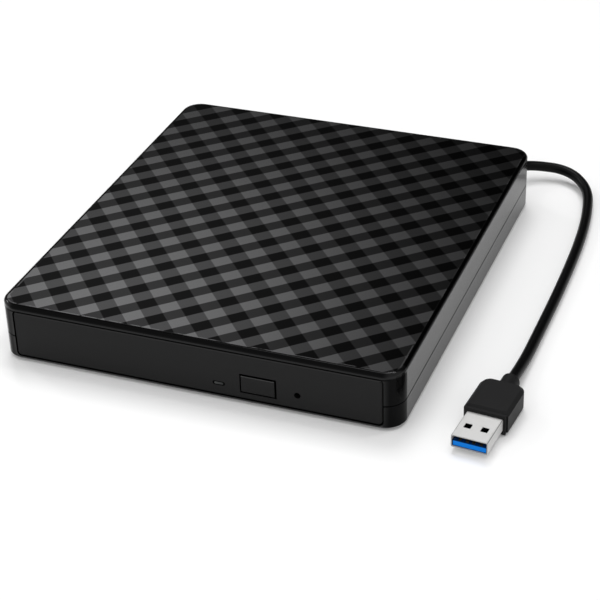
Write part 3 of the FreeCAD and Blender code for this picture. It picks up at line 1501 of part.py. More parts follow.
    thread = size("thread_radius", 1)
    thread_start = motor_end + end_play
    thread_end = bearing_start - end_play
    screw = join([rod((motor_end - journal, screw_v, rod_z), bearing_start - motor_end + journal * 2,
                      screw_journal, "X"),
                  rod((thread_start, screw_v, rod_z), thread_end - thread_start, thread, "X")])
    on_traverse(screw, "lead_screw")


def check_and_export():
    """Stop on any failed object, then write each sub-part to its own file."""
    doc.recompute()
    for item in doc.Objects:
        if "Invalid" in item.State or "Error" in item.State:
            raise RuntimeError(f"{item.Name} failed: {item.State}")
    os.makedirs("parts", exist_ok=True)
    for node, item in NODES.items():
        shape = item.Shape
        if shape.isNull() or not shape.isValid() or not shape.Solids:
            raise RuntimeError(f"{node} has no valid solid")
        shape.exportStep(f"parts/{node}.step")
    print(f"{len(NODES)} sub-parts")


make_top_cover()
make_bottom_cover()
make_feet()
make_bridge_board()
make_connectors()
make_ribbon()
make_strain_relief()
make_cable()
make_plug()
make_drive_box()
make_slides()
make_latch_post()
make_tray()
make_bezel()
make_button()
make_tray_board()
make_latch()
make_traverse_mounts()
make_traverse_plate()
make_spindle()
make_pickup()
check_and_export()
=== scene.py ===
import math

import bmesh
import bpy
from mathutils import Matrix, Vector


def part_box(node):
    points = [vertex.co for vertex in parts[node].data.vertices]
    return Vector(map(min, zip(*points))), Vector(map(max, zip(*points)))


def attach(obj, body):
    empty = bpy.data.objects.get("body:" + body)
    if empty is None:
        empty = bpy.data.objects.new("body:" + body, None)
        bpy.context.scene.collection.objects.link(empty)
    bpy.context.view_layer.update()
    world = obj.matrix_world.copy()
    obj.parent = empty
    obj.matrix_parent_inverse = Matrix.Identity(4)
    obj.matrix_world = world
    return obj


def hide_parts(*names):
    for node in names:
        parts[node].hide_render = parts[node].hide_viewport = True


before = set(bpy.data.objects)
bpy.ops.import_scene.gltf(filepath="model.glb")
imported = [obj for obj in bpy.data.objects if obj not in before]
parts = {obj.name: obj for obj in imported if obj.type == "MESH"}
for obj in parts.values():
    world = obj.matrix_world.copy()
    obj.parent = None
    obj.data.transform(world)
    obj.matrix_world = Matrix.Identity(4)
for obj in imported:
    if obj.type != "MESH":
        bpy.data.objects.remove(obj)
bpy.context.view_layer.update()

# Table: a wide sheet of smooth white laminate. It shows its own pale colour to the camera and
# in the drive's gloss, and keeps the shadow that the drive throws on it.


def maths(operation):
    """One step of a sum: it adds the Math node that works it out."""
    def step(signal, *others):
        inputs = dict(enumerate((signal, *others)))
        return signal.nodes.add("ShaderNodeMath", {"operation": operation}, inputs)
    return step


class Signal:
    """One output in a tree of nodes, which sums can be made with."""

    def __init__(self, nodes, socket):
        self.nodes = nodes
        self.socket = socket

    __add__ = __radd__ = maths("ADD")
    __sub__ = maths("SUBTRACT")
    __mul__ = __rmul__ = maths("MULTIPLY")
    __truediv__ = maths("DIVIDE")
    __gt__ = maths("GREATER_THAN")
    __lt__ = maths("LESS_THAN")
    size = maths("ABSOLUTE")
    root = maths("SQRT")
    least = maths("MINIMUM")
    most = maths("MAXIMUM")
    rise = maths("EXPONENT")
    wave = maths("COSINE")

    def __rsub__(self, other):
        return (self * -1.0) + other

    def diagonal(self, other):
        return (self * self + other * other).root()

    def soft_step(self, low, high):
        return self.nodes.add("ShaderNodeMapRange", {"interpolation_type": "SMOOTHSTEP"},
                              {0: self, 1: low, 2: high})

    def near(self, middle, inner, outer):
        """One close to a middle value, and nought beyond the outer distance from it."""
        return 1.0 - (self - middle).size().soft_step(inner, outer)


class Nodes:
    """A tree of nodes, and the one way to add a node to it."""

    def add(self, kind, settings=None, inputs=None, output=0):
        """Make one node: its settings first, then a value or a link for each socket."""
        node = self.tree.nodes.new(kind)
        for key, value in (settings or {}).items():
            setattr(node, key, value)
        for key, value in (inputs or {}).items():
            if isinstance(value, (Signal, list)):
                for signal in value if isinstance(value, list) else [value]:
                    self.tree.links.new(signal.socket, node.inputs[key])
            else:
                node.inputs[key].default_value = value
        return Signal(self, node.outputs[output]) if node.outputs else None


class Finish(Nodes):
    """The nodes of one material or of the room."""

    def __init__(self, name, owner=None):
        self.owner = owner or bpy.data.materials.new(name)
        self.owner.use_nodes = True
        self.tree = self.owner.node_tree
        self.tree.nodes.clear()

    def axes(self, vector):
        """The three numbers of a vector."""
        split = self.add("ShaderNodeSeparateXYZ", None, {0: vector}).socket.node
        return [Signal(self, axis) for axis in split.outputs]

    def place(self, origin=(0, 0, 0), turn=0.0):
        """Millimetres from an origin, along axes turned about Z: one vector and its numbers."""
        metres = self.add("ShaderNodeTexCoord", output=3)
        spot = self.add("ShaderNodeVectorMath", {"operation": "SCALE"}, {0: metres, 3: 1000.0})
        if turn:
            spot = self.add("ShaderNodeMapping", {"vector_type": "TEXTURE"},
                            {"Vector": spot, "Location": origin,
                             "Rotation": (0, 0, math.radians(turn))})
        return [spot, *self.axes(spot)]

    def tint(self, amount, first, second):
        """A colour between two, by an amount from 0 to 1."""
        colors = [c if isinstance(c, Signal) else (*c, 1.0) for c in (first, second)]
        return self.add("ShaderNodeMix", {"data_type": "RGBA"},
                        {0: amount, 6: colors[0], 7: colors[1]}, output=2)

    def speckle(self, spot, scale, detail=2.0, stretch=None):
        """Soft random grey, about scale blobs in each millimetre, drawn out along an axis."""
        if stretch:
            spot = self.add("ShaderNodeMapping", None, {"Vector": spot, "Scale": stretch})
        return self.add("ShaderNodeTexNoise", None,
                        {"Vector": spot, "Scale": scale, "Detail": detail})

    def bump(self, height, strength, depth=0.02):
        """Relief of a depth in millimetres."""
        return self.add("ShaderNodeBump", None,
                        {"Strength": strength, "Distance": depth / 1000, "Height": height})

    def surface(self, color, rough, **sockets):
        """The one surface shader and the output."""
        sockets = {key.replace("_", " "): value for key, value in sockets.items()}
        shader = self.add("ShaderNodeBsdfPrincipled", None,
                          {"Base Color": color, "Roughness": rough, **sockets})
        self.add("ShaderNodeOutputMaterial", None, {"Surface": shader})


laminate = Finish("white_laminate")
seen = laminate.add("ShaderNodeLightPath", output=0)
mirrored = laminate.add("ShaderNodeLightPath", output=3)
through = laminate.add("ShaderNodeLightPath", output=6)
sheet = laminate.add("ShaderNodeBsdfPrincipled", None,
                     {"Base Color": (0.93, 0.93, 0.93, 1.0), "Roughness": 0.2,
                      "Specular IOR Level": 0.5})
own_light = seen.most(mirrored).most(through) * 0.09
paleness = laminate.add("ShaderNodeEmission", None,
                        {"Color": (1, 1, 1, 1), "Strength": own_light})
both = laminate.add("ShaderNodeAddShader", None, {0: sheet, 1: paleness})
laminate.add("ShaderNodeOutputMaterial", None, {"Surface": both})
bpy.ops.mesh.primitive_circle_add(vertices=96, radius=4.0, fill_type="NGON")
table = bpy.context.object
table.name = "table_sheet"
table.data.materials.append(laminate.owner)

# Room: white walls at table height that fade to a dim ceiling, with one soft bright panel behind
# and to the left of the drive. Its lustre slides over the printed top.
room = Finish("room", bpy.context.scene.world or bpy.data.worlds.new("room"))
bpy.context.scene.world = room.owner
east, north, up = room.axes(room.add("ShaderNodeTexCoord", output=0))
panel_east, panel_up = -0.43, 0.54
panel_width, panel_height = 0.148, 0.095
panel_light, tent_light, ceiling_light = 0.92, 0.80, 0.006
wall = 1.0 - up.soft_step(0.02, 0.12)
aside = (east - panel_east) / panel_width
above = (up - panel_up) / panel_height
panel = (0.0 - aside * aside - above * above).rise() * (north > 0.0) * panel_light
tent = (1.0 - north.soft_step(0.10, 0.50)) * tent_light
seen = room.add("ShaderNodeLightPath", output=0)
brightness = seen.most(wall.most(tent) + panel + ceiling_light)
backdrop = room.add("ShaderNodeBackground", None, {"Color": (1, 1, 1, 1), "Strength": brightness})
room.add("ShaderNodeOutputWorld", None, {"Surface": backdrop})

# Lamps: soft round boxes on stands, aimed at the drive, each with a place in metres, a width and
# a power. The one overhead is kept out of reflections, so that the glossy top stays dark.


def put(name, data):
    """A new object in the scene."""
    thing = bpy.data.objects.new(name, data)
    bpy.context.scene.collection.objects.link(thing)
    return thing


LAMPS = {
    "softbox_over": ((0.05, 0.35, 2.17), 2.20, 12.0),
    "softbox_behind": ((-0.35, 0.95, 1.95), 0.90, 13.0),
    "spot_left": ((-1.65, 0.77, 1.23), 0.25, 3.5),
    "spot_right": ((0.62, 0.44, 2.07), 0.25, 3.5),
}
for name, (spot, width, power) in LAMPS.items():
    lamp = put(name, bpy.data.lights.new(name, "AREA"))
    lamp.data.shape = "DISK"
    lamp.data.size = width
    lamp.data.energy = power
    lamp.location = spot
    lamp.rotation_euler = Vector(spot).to_track_quat("Z", "Y").to_euler()
    lamp.visible_glossy = name != "softbox_over"

# Camera: a long lens above the front right corner, about 64 cm away and rolled by two degrees, at
# the photograph's viewing angle.
eye = Vector((0.208906, -0.509473, 0.331659))
look_right = Vector((0.93520, 0.35293, -0.02887))
look_up = Vector((-0.16398, 0.50389, 0.84806))
look_back = Vector((0.31385, -0.78837, 0.52912))
camera = put("camera", bpy.data.cameras.new("camera"))
camera.data.lens = 107.37
camera.data.sensor_width = 36.0
camera.data.clip_start = 0.01
camera.data.clip_end = 20.0
turned_eye = Matrix((look_right, look_up, look_back)).transposed().to_4x4()
camera.matrix_world = Matrix.Translation(eye) @ turned_eye
bpy.context.scene.camera = camera
bpy.context.scene.view_settings.view_transform = "Standard"

# Cable: a limp round lead with a smooth rubber jacket. It leaves the back wall through its
# moulded grommet, turns round the corner and lies on the table beside the drive.
CABLE_ROUTE = [
    (60.0, 81.5, 7.4), (60.8, 90.0, 7.2), (66.6, 96.6, 5.9), (80.4, 99.2, 4.6),
    (90.4, 89.2, 3.2), (94.0, 73.0, 2.1), (96.3, 51.0, 2.0), (97.2, 16.0, 2.0),
    (97.0, -14.0, 2.0), (97.0, -32.0, 2.4), (96.41, -45.54, 4.0),
]
cable_diameter = 3.8


def fit(name, data, body):
    """A new piece in the scene, on its body."""
    piece = put(name, data)
    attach(piece, body)
    return piece


cable_line = bpy.data.curves.new("cable_line", "CURVE")
cable_line.dimensions = "3D"
spline = cable_line.splines.new("NURBS")
spline.points.add(len(CABLE_ROUTE) - 1)
for point, (x, y, z) in zip(spline.points, CABLE_ROUTE):
    point.co = (x / 1000, y / 1000, z / 1000, 1.0)
    point.radius = cable_diameter / 2000
spline.order_u = 3
spline.use_endpoint_u = True
spline.resolution_u = 24
cable_line.bevel_depth = 1.0
cable_line.bevel_resolution = 6
lead = fit("cable_lead", cable_line, "case")
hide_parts("cable")


def moulded(name, dark, light, rough, grain=5.0, relief=0.02, shine=0.5):
    """A moulded plastic or rubber: a fine grain from the tool, over faint cloudy patches."""
    finish = Finish(name)
    spot = finish.place()[0]
    fine = finish.speckle(spot, grain, 3.0)
    cloud = finish.speckle(spot, 0.10)
    finish.surface(finish.tint(fine * 0.5 + cloud * 0.5, dark, light),
                   rough + fine * 0.10 + cloud * 0.04, Specular_IOR_Level=shine,
                   Normal=finish.bump(fine, 0.3, relief))
    return finish


def dress(finish, *names):
    """Give CAD parts their finish."""
    for name in names:
        for slot in parts[name].material_slots:
            slot.material = finish.owner


jacket = moulded("cable_jacket", (0.0014, 0.0014, 0.0015), (0.0028, 0.0028, 0.0030), 0.26,
                 grain=3.0, shine=0.09)
cable_line.materials.append(jacket.owner)
dress(jacket, "strain_relief")

# Plug shell: a strip of nickel plated steel folded into a flat tube, with two catch windows
# above and two below. Its edges are eased by the press.
plug_spot = (93.1, -83.4, 0)
plug_turn = -5.0
shell_half_width = 6.0
shell_low, shell_high = 1.75, 6.25
shell_length = 15.4
shell_metal = 0.3
shell_corner = 0.55
window_size = (2.3, 2.5)
window_middle = (2.75, 6.25)


def rounded_outline(half_x, half_z, corner, steps=4):
    """Points round a rectangle with round corners, anticlockwise from the right."""
    outline = []
    for quarter in range(4):
        side_x = 1 if quarter in (0, 3) else -1
        side_z = 1 if quarter in (0, 1) else -1
        for step in range(steps + 1):
            angle = (quarter + step / steps) * math.pi / 2
            outline.append((side_x * (half_x - corner) + corner * math.cos(angle),
                            side_z * (half_z - corner) + corner * math.sin(angle)))
    return outline


def skin(rings, closed=True):
    """A mesh of the rings of points in order, joined from each to the next."""
    shape = bmesh.new()
    loops = [[shape.verts.new(point) for point in ring] for ring in rings]
    following = loops[1:] + (loops[:1] if closed else [])
    for first, second in zip(loops, following):
        for index in range(len(first)):
            after = (index + 1) % len(first)
            shape.faces.new((first[index], first[after], second[after], second[index]))
    if not closed:
        shape.faces.new(loops[0])
        shape.faces.new(reversed(loops[-1]))
    bmesh.ops.recalc_face_normals(shape, faces=shape.faces)
    return shape


def block(low, high, ease=0.0, steps=2):
    """A box between two corners with eased edges."""
    shape = bmesh.new()
    bmesh.ops.create_cube(shape, size=1.0)
    for vert in shape.verts:
        vert.co = [(a + b) / 2 + c * (b - a) for a, b, c in zip(low, high, vert.co)]
    if ease:
        bmesh.ops.bevel(shape, geom=list(shape.edges), offset=ease, segments=steps,
                        affect="EDGES", profile=0.5)
    return shape


def softened(mesh):
    """Smooth shading with the sharp edges kept."""
    mesh.shade_smooth()
    mesh.set_sharp_from_angle(angle=math.radians(38))


def set_down(shape, name, finish, body, slot, origin=(0, 0, 0), turn=0.0):
    """Turn a shape drawn in millimetres into a piece in its place, on a body."""
    mesh = shape
    if isinstance(shape, bmesh.types.BMesh):
        mesh = bpy.data.meshes.new(name)
        shape.to_mesh(mesh)
        shape.free()
    mesh.transform(Matrix.Translation(Vector(origin) / 1000)
                   @ Matrix.Rotation(math.radians(turn), 4, "Z") @ Matrix.Scale(0.001, 4))
    mesh.materials.clear()
    mesh.materials.append(finish.owner)
    softened(mesh)
    flat_from = 1.5e-6
    for face in mesh.polygons:
        face.use_smooth = face.area < flat_from
    return fit(name, mesh, body)


def carved(shape, cutters, ease):
    """A shape with boxes cut out of it and its edges eased, as a plain mesh."""
    blanks = []
    for form in [shape, *cutters]:
        mesh = bpy.data.meshes.new("blank")
        form.to_mesh(mesh)
        form.free()
        blanks.append(put("blank", mesh))
    work = blanks[0]
    for cutter in blanks[1:]:
        cut = work.modifiers.new("window", "BOOLEAN")
        cut.operation = "DIFFERENCE"
        cut.object = cutter
    if ease:
        bevel = work.modifiers.new("eased", "BEVEL")
        bevel.width = ease
        bevel.segments = 2
        bevel.limit_method = "ANGLE"
        bevel.angle_limit = math.radians(50)
    graph = bpy.context.evaluated_depsgraph_get()
    mesh = bpy.data.meshes.new_from_object(work.evaluated_get(graph))
    for blank in blanks:
        bpy.data.objects.remove(blank)
    return mesh


shell_middle = (shell_low + shell_high) / 2
shell_rise = (shell_high - shell_low) / 2
outside = rounded_outline(shell_half_width, shell_rise, shell_corner)
inside = rounded_outline(shell_half_width - shell_metal, shell_rise - shell_metal,
                         shell_corner - shell_metal)
rings = [[(x, y, z + shell_middle) for x, z in outline]
         for outline, y in ((outside, 0), (outside, shell_length), (inside, shell_length),
                            (inside, 0))]
window_back = window_middle[1] - window_size[1] / 2
punch = 0.6
windows = []
for middle_x in (-window_middle[0], window_middle[0]):
    for level in (shell_low, shell_high):
        left = middle_x - window_size[0] / 2
        windows.append(block((left, window_back, level - punch),
                             (left + window_size[0], window_back + window_size[1], level + punch)))
nickel = Finish("satin_nickel")
spot, x, y, z = nickel.place(plug_spot, plug_turn)
drawn = nickel.speckle(spot, 3.0, 3.0, stretch=(3.0, 0.25, 3.0))
rub = nickel.speckle(spot, 0.35)
# Painted reflection: the top's side edges and the front rim of the shell are painted dark, standing
# in for dark surroundings seen in them.
painted_edge_dark = (x.size().soft_step(shell_half_width - 0.28, shell_half_width - 0.14)
        * z.soft_step(shell_high - 0.35, shell_high - 0.15))
painted_edge_dark = painted_edge_dark.most((shell_metal * 0.5 - y).soft_step(-0.05, 0.1) * 0.4)
steel = nickel.tint(drawn * 0.6 + rub * 0.4, (0.60, 0.597, 0.59), (0.74, 0.736, 0.728))
nickel.surface(nickel.tint(painted_edge_dark, steel, (0.10, 0.10, 0.10)), 0.36 + drawn * 0.12 + rub * 0.05,
               Metallic=0.40, Normal=nickel.bump(drawn, 0.12, 0.01))
folded = set_down(carved(skin(rings), windows, 0.07), "folded_shell", nickel, "case", "plug_metal",
                  plug_spot, plug_turn)
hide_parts("plug_shell")

# Plug inside: a blue moulded tongue and gilt contacts that are pressed into it. Both are painted
# darker towards the back of the shell, as painted shade.
tongue_half_width = 5.5
tongue_low, tongue_top = 2.18, 3.98
blue = Finish("blue_insert")
spot, x, y, z = blue.place(plug_spot, plug_turn)
swirl = blue.speckle(spot, 0.8)
# Painted shade: the blue darkens towards the back of the shell, its top face is painted navy, and
# its sides and bottom edge are painted dark.
depth = y.soft_step(0.5, 3.2)
face = blue.tint(z.soft_step(tongue_top - 0.14, tongue_top),
                 blue.tint(swirl, (0.0, 0.19, 0.74), (0.0, 0.23, 0.84)), (0.0, 0.035, 0.15))
painted_edge_shade = x.size().soft_step(tongue_half_width - 0.18, tongue_half_width).most(
    1.0 - z.soft_step(tongue_low, tongue_low + 0.14))
blue.surface(blue.tint(depth.most(painted_edge_shade), face, (0.0, 0.004, 0.014)), 0.42 + swirl * 0.08,
             Specular_IOR_Level=0.12, Normal=blue.bump(swirl, 0.1))
dress(blue, "plug_insert")

gilt = Finish("gilt_contact")
spot, _, y, _ = gilt.place(plug_spot, plug_turn)
wipe = gilt.speckle(spot, 4.0, 2.0, stretch=(1.0, 0.15, 1.0))
# Painted shade: the contacts are painted darker towards the back of the shell.
depth = y.soft_step(1.0, 2.6)
gold = gilt.tint(wipe, (0.12, 0.075, 0.035), (0.26, 0.17, 0.08))
gilt.surface(gilt.tint(depth, gold, (0.02, 0.016, 0.010)), 0.30 + wipe * 0.12, Metallic=1.0)
dress(gilt, "plug_contacts")

# Plug grip: black thermoplastic moulded over the back of the shell and the end of the cable, with
# a fine spark eroded grain.
dress(moulded("plug_overmould", (0.010, 0.010, 0.0103), (0.015, 0.015, 0.0153), 0.40, grain=8.0,
              shine=0.10), "plug_housing")

# Covers: two black mouldings that meet at a seam. A plaid of two crossing stripes is printed in
# grey metal ink on the flat top and stops short of its round glossy edge. The side walls have a
# fine grain.
case_side, case_front, case_top = 70.0, -80.0, 21.5
flat_x, flat_y = 63.6, 73.6
print_corner = 4.9
seam_height = 9.4
plaid = Finish("plaid_lacquer")
spot, x, y, z = plaid.place()
circle = 2 * math.pi


def stripes(per_x, per_y, start=0.0, count=1):
    """Waves over the top: how many to a millimetre along each axis, and where they start."""
    return ((x * per_x + y * per_y) * (circle * count) + start).wave()


steep = stripes(-0.06714, 0.07226, -1.7799)
shallow = stripes(0.06042, 0.05282, 1.6626)
steep_band = steep.soft_step(-0.06, 0.06)
shallow_band = shallow.soft_step(-0.06, 0.06)
ink = 0.020 + steep_band * 0.40 + shallow_band * 0.17 + steep_band * shallow_band * 0.382
border_line = 1.0 - steep.size().least(shallow.size()).soft_step(0.02, 0.10)
thread = stripes(0.0605, 0.0675, count=17)
cross_thread = stripes(-0.0675, 0.0605, count=17)
weave = thread * (0.11 - steep_band * 0.06) + cross_thread * (0.04 + steep_band * 0.06)
shading = 1.0 + weave + (plaid.speckle(spot, 3.0, 3.0) - 0.5) * 0.16
corner_x = (x.size() - flat_x).most(0.0)
corner_y = (y.size() - flat_y).most(0.0)
reach = corner_x.diagonal(corner_y)
printed = (print_corner - reach).soft_step(-0.12, 0.12) * z.soft_step(case_top - 0.3,
                                                                      case_top - 0.05)
# Painted highlight: a broken bright line is painted along the front of the print's border, standing
# in for a glint.
print_edge = reach.near(print_corner - 0.25, 0.10, 0.20)
broken_glint = plaid.speckle(spot, 0.30, 3.0).soft_step(0.40, 0.56) * (y < case_front + 20.0)
# Painted reflection: the front face of the bottom lip is painted lighter, standing in for the pale
# table seen in its gloss.
painted_lip_reflection = z.soft_step(1.25, 1.38) * (y < case_front + 0.1) * (z < 2.1)
ink_seen = (printed * (ink * shading + border_line * 0.03 + print_edge * broken_glint * 0.9)
            + painted_lip_reflection * 0.160)
wall_side = x.size().soft_step(case_side - 1.0, case_side - 0.6)
wall_grain = plaid.speckle(spot, 2.2, 4.0)
relief = weave * printed + wall_grain * wall_side * 2.0
# Painted shade: the glossy rim round the print, the corner bends and the case's edge above the
# bezel opening have their reflections taken away, so they show as painted dark. The seam is a dark
# joint.
rim = z.soft_step(19.9, 20.3) * (1.0 - printed)
bend = x.size().soft_step(64.0, 66.5) * y.size().soft_step(72.9, 73.3)
seam = z.near(seam_height, 0.24, 0.42)
opening_gap_shade = z.soft_step(18.9, 19.0) * (1.0 - z.soft_step(19.40, 19.52)) * (y < case_front + 1.0)
seam_and_painted_dark = (rim * (1.0 - bend)).most(bend * (1.0 - z.soft_step(19.4, 19.9))).most(seam) * 0.85
seam_and_painted_dark = seam_and_painted_dark.most(opening_gap_shade * 0.95)
plaid.surface(plaid.tint(ink_seen, (0.0035, 0.0035, 0.0036), (0.21, 0.21, 0.213)),
              0.115 + wall_side * 0.10, Metallic=seam_and_painted_dark.most(printed * 0.98),
              Specular_IOR_Level=0.33, Specular_Tint=(0.6, 0.6, 0.6, 1.0),
              Normal=plaid.bump(relief, 0.12, 0.01))
dress(plaid, "top_cover", "bottom_cover")

# Feet: four discs of soft black rubber with a coarse grain. They are pressed into recesses of the
# bottom cover, and the rear two hide the case screws.
dress(moulded("foot_rubber", (0.010, 0.010, 0.010), (0.022, 0.022, 0.021), 0.78, grain=6.0,
              relief=0.05, shine=0.3),
      "foot_front_left", "foot_front_right", "foot_rear_left", "foot_rear_right")

# Case screws: two long cross head screws, zinc plated, that stand under the rear feet and draw
# the two covers together.


class Pattern(Nodes):
    """Nodes that draw one shape at many places, with named sizes in millimetres."""

    def __init__(self, name, *sizes):
        self.tree = bpy.data.node_groups.new(name, "GeometryNodeTree")
        rows = [("places", "Geometry"), ("finish", "Material"), ("tilt", "Vector")]
        for row, kind in rows + [(size, "Float") for size in sizes]:
            self.tree.interface.new_socket(row, in_out="INPUT", socket_type="NodeSocket" + kind)
        self.tree.interface.new_socket("drawn", in_out="OUTPUT", socket_type="NodeSocketGeometry")
        entry = self.tree.nodes.new("NodeGroupInput")
        self.given = {socket.name: Signal(self, socket) for socket in entry.outputs}

    def vector(self, **axes):
        """A vector from numbers for its axes."""
        return self.add("ShaderNodeCombineXYZ", None, axes)

    def cube(self, **axes):
        """A box with a size along each axis."""
        return self.add("GeometryNodeMeshCube", None, {"Size": self.vector(**axes)})

    def changed(self, shape, **changes):
        """A shape that is moved, turned or scaled."""
        return self.add("GeometryNodeTransform", None, {"Geometry": shape, **changes})

    def moved(self, shape, **axes):
        """A shape that is moved along its axes."""
        return self.changed(shape, Translation=self.vector(**axes))

    def wire(self, curve, sides, radius, capped=False):
        """A wire with a number of sides, drawn along a curve."""
        profile = self.add("GeometryNodeCurvePrimitiveCircle", None,
                           {"Resolution": sides, "Radius": radius})
        return self.add("GeometryNodeCurveToMesh", None,
                        {"Curve": curve, "Profile Curve": profile, "Fill Caps": capped})

    def joined(self, *shapes):
        """Several shapes as one."""
        return self.add("GeometryNodeJoinGeometry", None, {"Geometry": list(shapes)})

    def repeat(self, shape, spin=None):
        """Set the shape down at every place, tilted and then spun, and finish it."""
        spin = spin or self.add("GeometryNodeInputNamedAttribute", {"data_type": "FLOAT"},
                                {"Name": "spin"})
        upright = self.add("FunctionNodeEulerToRotation", None, {0: self.given["tilt"]})
        own = self.add("FunctionNodeEulerToRotation", None, {0: self.vector(Z=spin)})
        way = self.add("FunctionNodeRotateRotation", {"rotation_space": "LOCAL"},
                       {0: upright, 1: own})
        copies = self.add("GeometryNodeInstanceOnPoints", None,
                          {"Points": self.given["places"], "Instance": shape, "Rotation": way})
        small = self.changed(copies, Scale=(0.001, 0.001, 0.001))
        real = self.add("GeometryNodeRealizeInstances", None, {0: small})
        done = self.add("GeometryNodeSetMaterial", None,
                        {"Geometry": real, "Material": self.given["finish"]})
        self.tree.links.new(done.socket, self.tree.nodes.new("NodeGroupOutput").inputs[0])

    def draw(self, name, places, finish, body, slot, tilt=(0, 0, 0), **sizes):
        """Run the nodes over the places and keep the result as one plain mesh on a body."""
        points = bpy.data.meshes.new(name + "_places")
        points.from_pydata([place[:3] for place in places], [], [])
        spin = points.attributes.new("spin", "FLOAT", "POINT")
        for item, place in zip(spin.data, places):
            item.value = math.radians(place[3]) if len(place) > 3 else 0.0
        holder = put(name + "_places", points)
        modifier = holder.modifiers.new("pattern", "NODES")
        modifier.node_group = self.tree
        values = {"finish": finish.owner, "tilt": [math.radians(angle) for angle in tilt], **sizes}
        for socket in self.tree.interface.items_tree:
            if socket.in_out == "INPUT" and socket.name in values:
                modifier[socket.identifier] = values[socket.name]
        graph = bpy.context.evaluated_depsgraph_get()
        mesh = bpy.data.meshes.new_from_object(holder.evaluated_get(graph))
        mesh.validate()
        holder.modifiers.remove(modifier)
        bpy.data.objects.remove(holder)
        softened(mesh)
        return fit(name, mesh, body)


screws = Pattern("cross_head_screw", "head", "rise", "shank", "reach")
size = screws.given
dome = screws.add("GeometryNodeMeshCone", None,
                  {"Vertices": 24, "Radius Bottom": size["head"], "Radius Top": size["head"] * 0.84,
                   "Depth": size["rise"]})
bit = screws.cube(X=size["head"] * 1.1, Y=size["head"] * 0.26, Z=size["rise"])
lift = screws.vector(Z=size["rise"])
arms = [screws.changed(bit, Translation=lift, Rotation=(0, 0, angle)) for angle in (0, math.pi / 2)]
crossed = screws.add("GeometryNodeMeshBoolean", {"operation": "DIFFERENCE"},
                     {"Mesh 1": dome, "Mesh 2": arms})
stem = screws.add("GeometryNodeMeshCylinder", None,
                  {"Vertices": 16, "Radius": size["shank"], "Depth": size["reach"]})
sunk = screws.moved(stem, Z=size["reach"] * -0.5)
loose = screws.add("FunctionNodeRandomValue", {"data_type": "FLOAT"}, {2: 0.0, 3: 6.28, 8: 7},
                   output=1)
screws.repeat(screws.joined(crossed, sunk), loose)

plated = Finish("plated_screw")
spot = plated.place()[0]
haze = plated.speckle(spot, 2.5, 3.0)
plated.surface(plated.tint(haze, (0.34, 0.34, 0.33), (0.52, 0.52, 0.50)), 0.30 + haze * 0.14,
               Metallic=0.95, Normal=plated.bump(haze, 0.2))


def box_mm(name):
    """The low and the high corner of a CAD part's box, in millimetres."""
    return [corner * 1000 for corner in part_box(name)]


head_seat = 3.0
rear_feet = [box_mm(name) for name in ("foot_rear_left", "foot_rear_right")]
screws.draw("case_screws", [((low.x + high.x) / 2, (low.y + high.y) / 2, head_seat)
                            for low, high in rear_feet],
            plated, "case", "drive_steel", tilt=(180, 0, 0), head=2.1, rise=1.3, shank=1.05,
            reach=12.5)

# Front bezel and eject button: satin black mouldings with a fine spark eroded grain. The button
# stands in its own window and presses the switch behind it.
satin = Finish("satin_black")
spot, x, _, z = satin.place()
sparks = satin.speckle(spot, 9.0)
patches = satin.speckle(spot, 0.05, 3.0)
button_low, button_high = box_mm("eject_button")
flange = 0.8
below_top = button_high.z - flange - z
inward = (button_high.x - flange - x).least(below_top)
on_button = (inward > 0.0) * (x > button_low.x + flange) * (z > button_low.z + flange)
from_edge = box_mm("front_bezel")[1].z - z
# Painted shade: a dark band inside the button's top and right edges, and along the bezel's top
# edge, stands in for the shade of the gaps round them.
shade = (on_button * (1.0 - inward.soft_step(0.36, 0.46))).most(from_edge < 0.14)
# Painted highlight: a pale line is painted below the button's top edge, and a fainter one below the
# bezel's top edge.
button_highlight = on_button * below_top.near(0.62, 0.10, 0.18) * (inward > 0.44)
painted_highlight = button_highlight.most(from_edge.near(0.34, 0.08, 0.16) * 0.5)
plain = satin.tint(patches, (0.0030, 0.0030, 0.0031), (0.0055, 0.0055, 0.0057))
shaded = satin.tint(shade, plain, (0.0, 0.0, 0.0))
satin.surface(satin.tint(painted_highlight, shaded, (0.045, 0.045, 0.045)),
              0.33 + sparks * 0.10 + patches * 0.05, Metallic=shade, Specular_IOR_Level=0.18,
              Normal=satin.bump(sparks, 0.18, 0.015))
dress(satin, "front_bezel", "eject_button")

# Lamp lens: a plug of smoked clear plastic, pushed into its slot in the bezel. The lamp shows as a
# paler window inside a dark rim. The rim is painted shade of the gap round the lens, and the window
# is painted lighter on its left than on its right.
smoked = Finish("smoked_lens")
spot, x, _, z = smoked.place()
lens_low, lens_high = box_mm("led_lens")
lens_round = (lens_high.z - lens_low.z) / 2
lens_middle = (lens_low + lens_high) / 2
aside = x - lens_middle.x
past_end = (aside.size() - (lens_middle.x - lens_low.x - lens_round - 0.25)).most(0.0)
from_slot = past_end.diagonal(z - lens_middle.z)
# Painted shade: the dark rim.
rim = from_slot.soft_step(lens_round - 0.38, lens_round - 0.28)
# Painted light: the window is lighter on the left and darker on the right.
painted_side_light = aside.soft_step(-1.6, 1.6)
lit = smoked.tint(painted_side_light, (0.075, 0.078, 0.077), (0.045, 0.047, 0.047))
smoked.surface(smoked.tint(rim, lit, (0.0002, 0.0002, 0.0002)), 0.34 + painted_side_light * 0.1,
               Specular_IOR_Level=0.0)
dress(smoked, "led_lens")

# Drive box: a pan and a lid folded from zinc plated sheet, with the latch post riveted in it.
# Faint spangles and rolling streaks show in the plating.


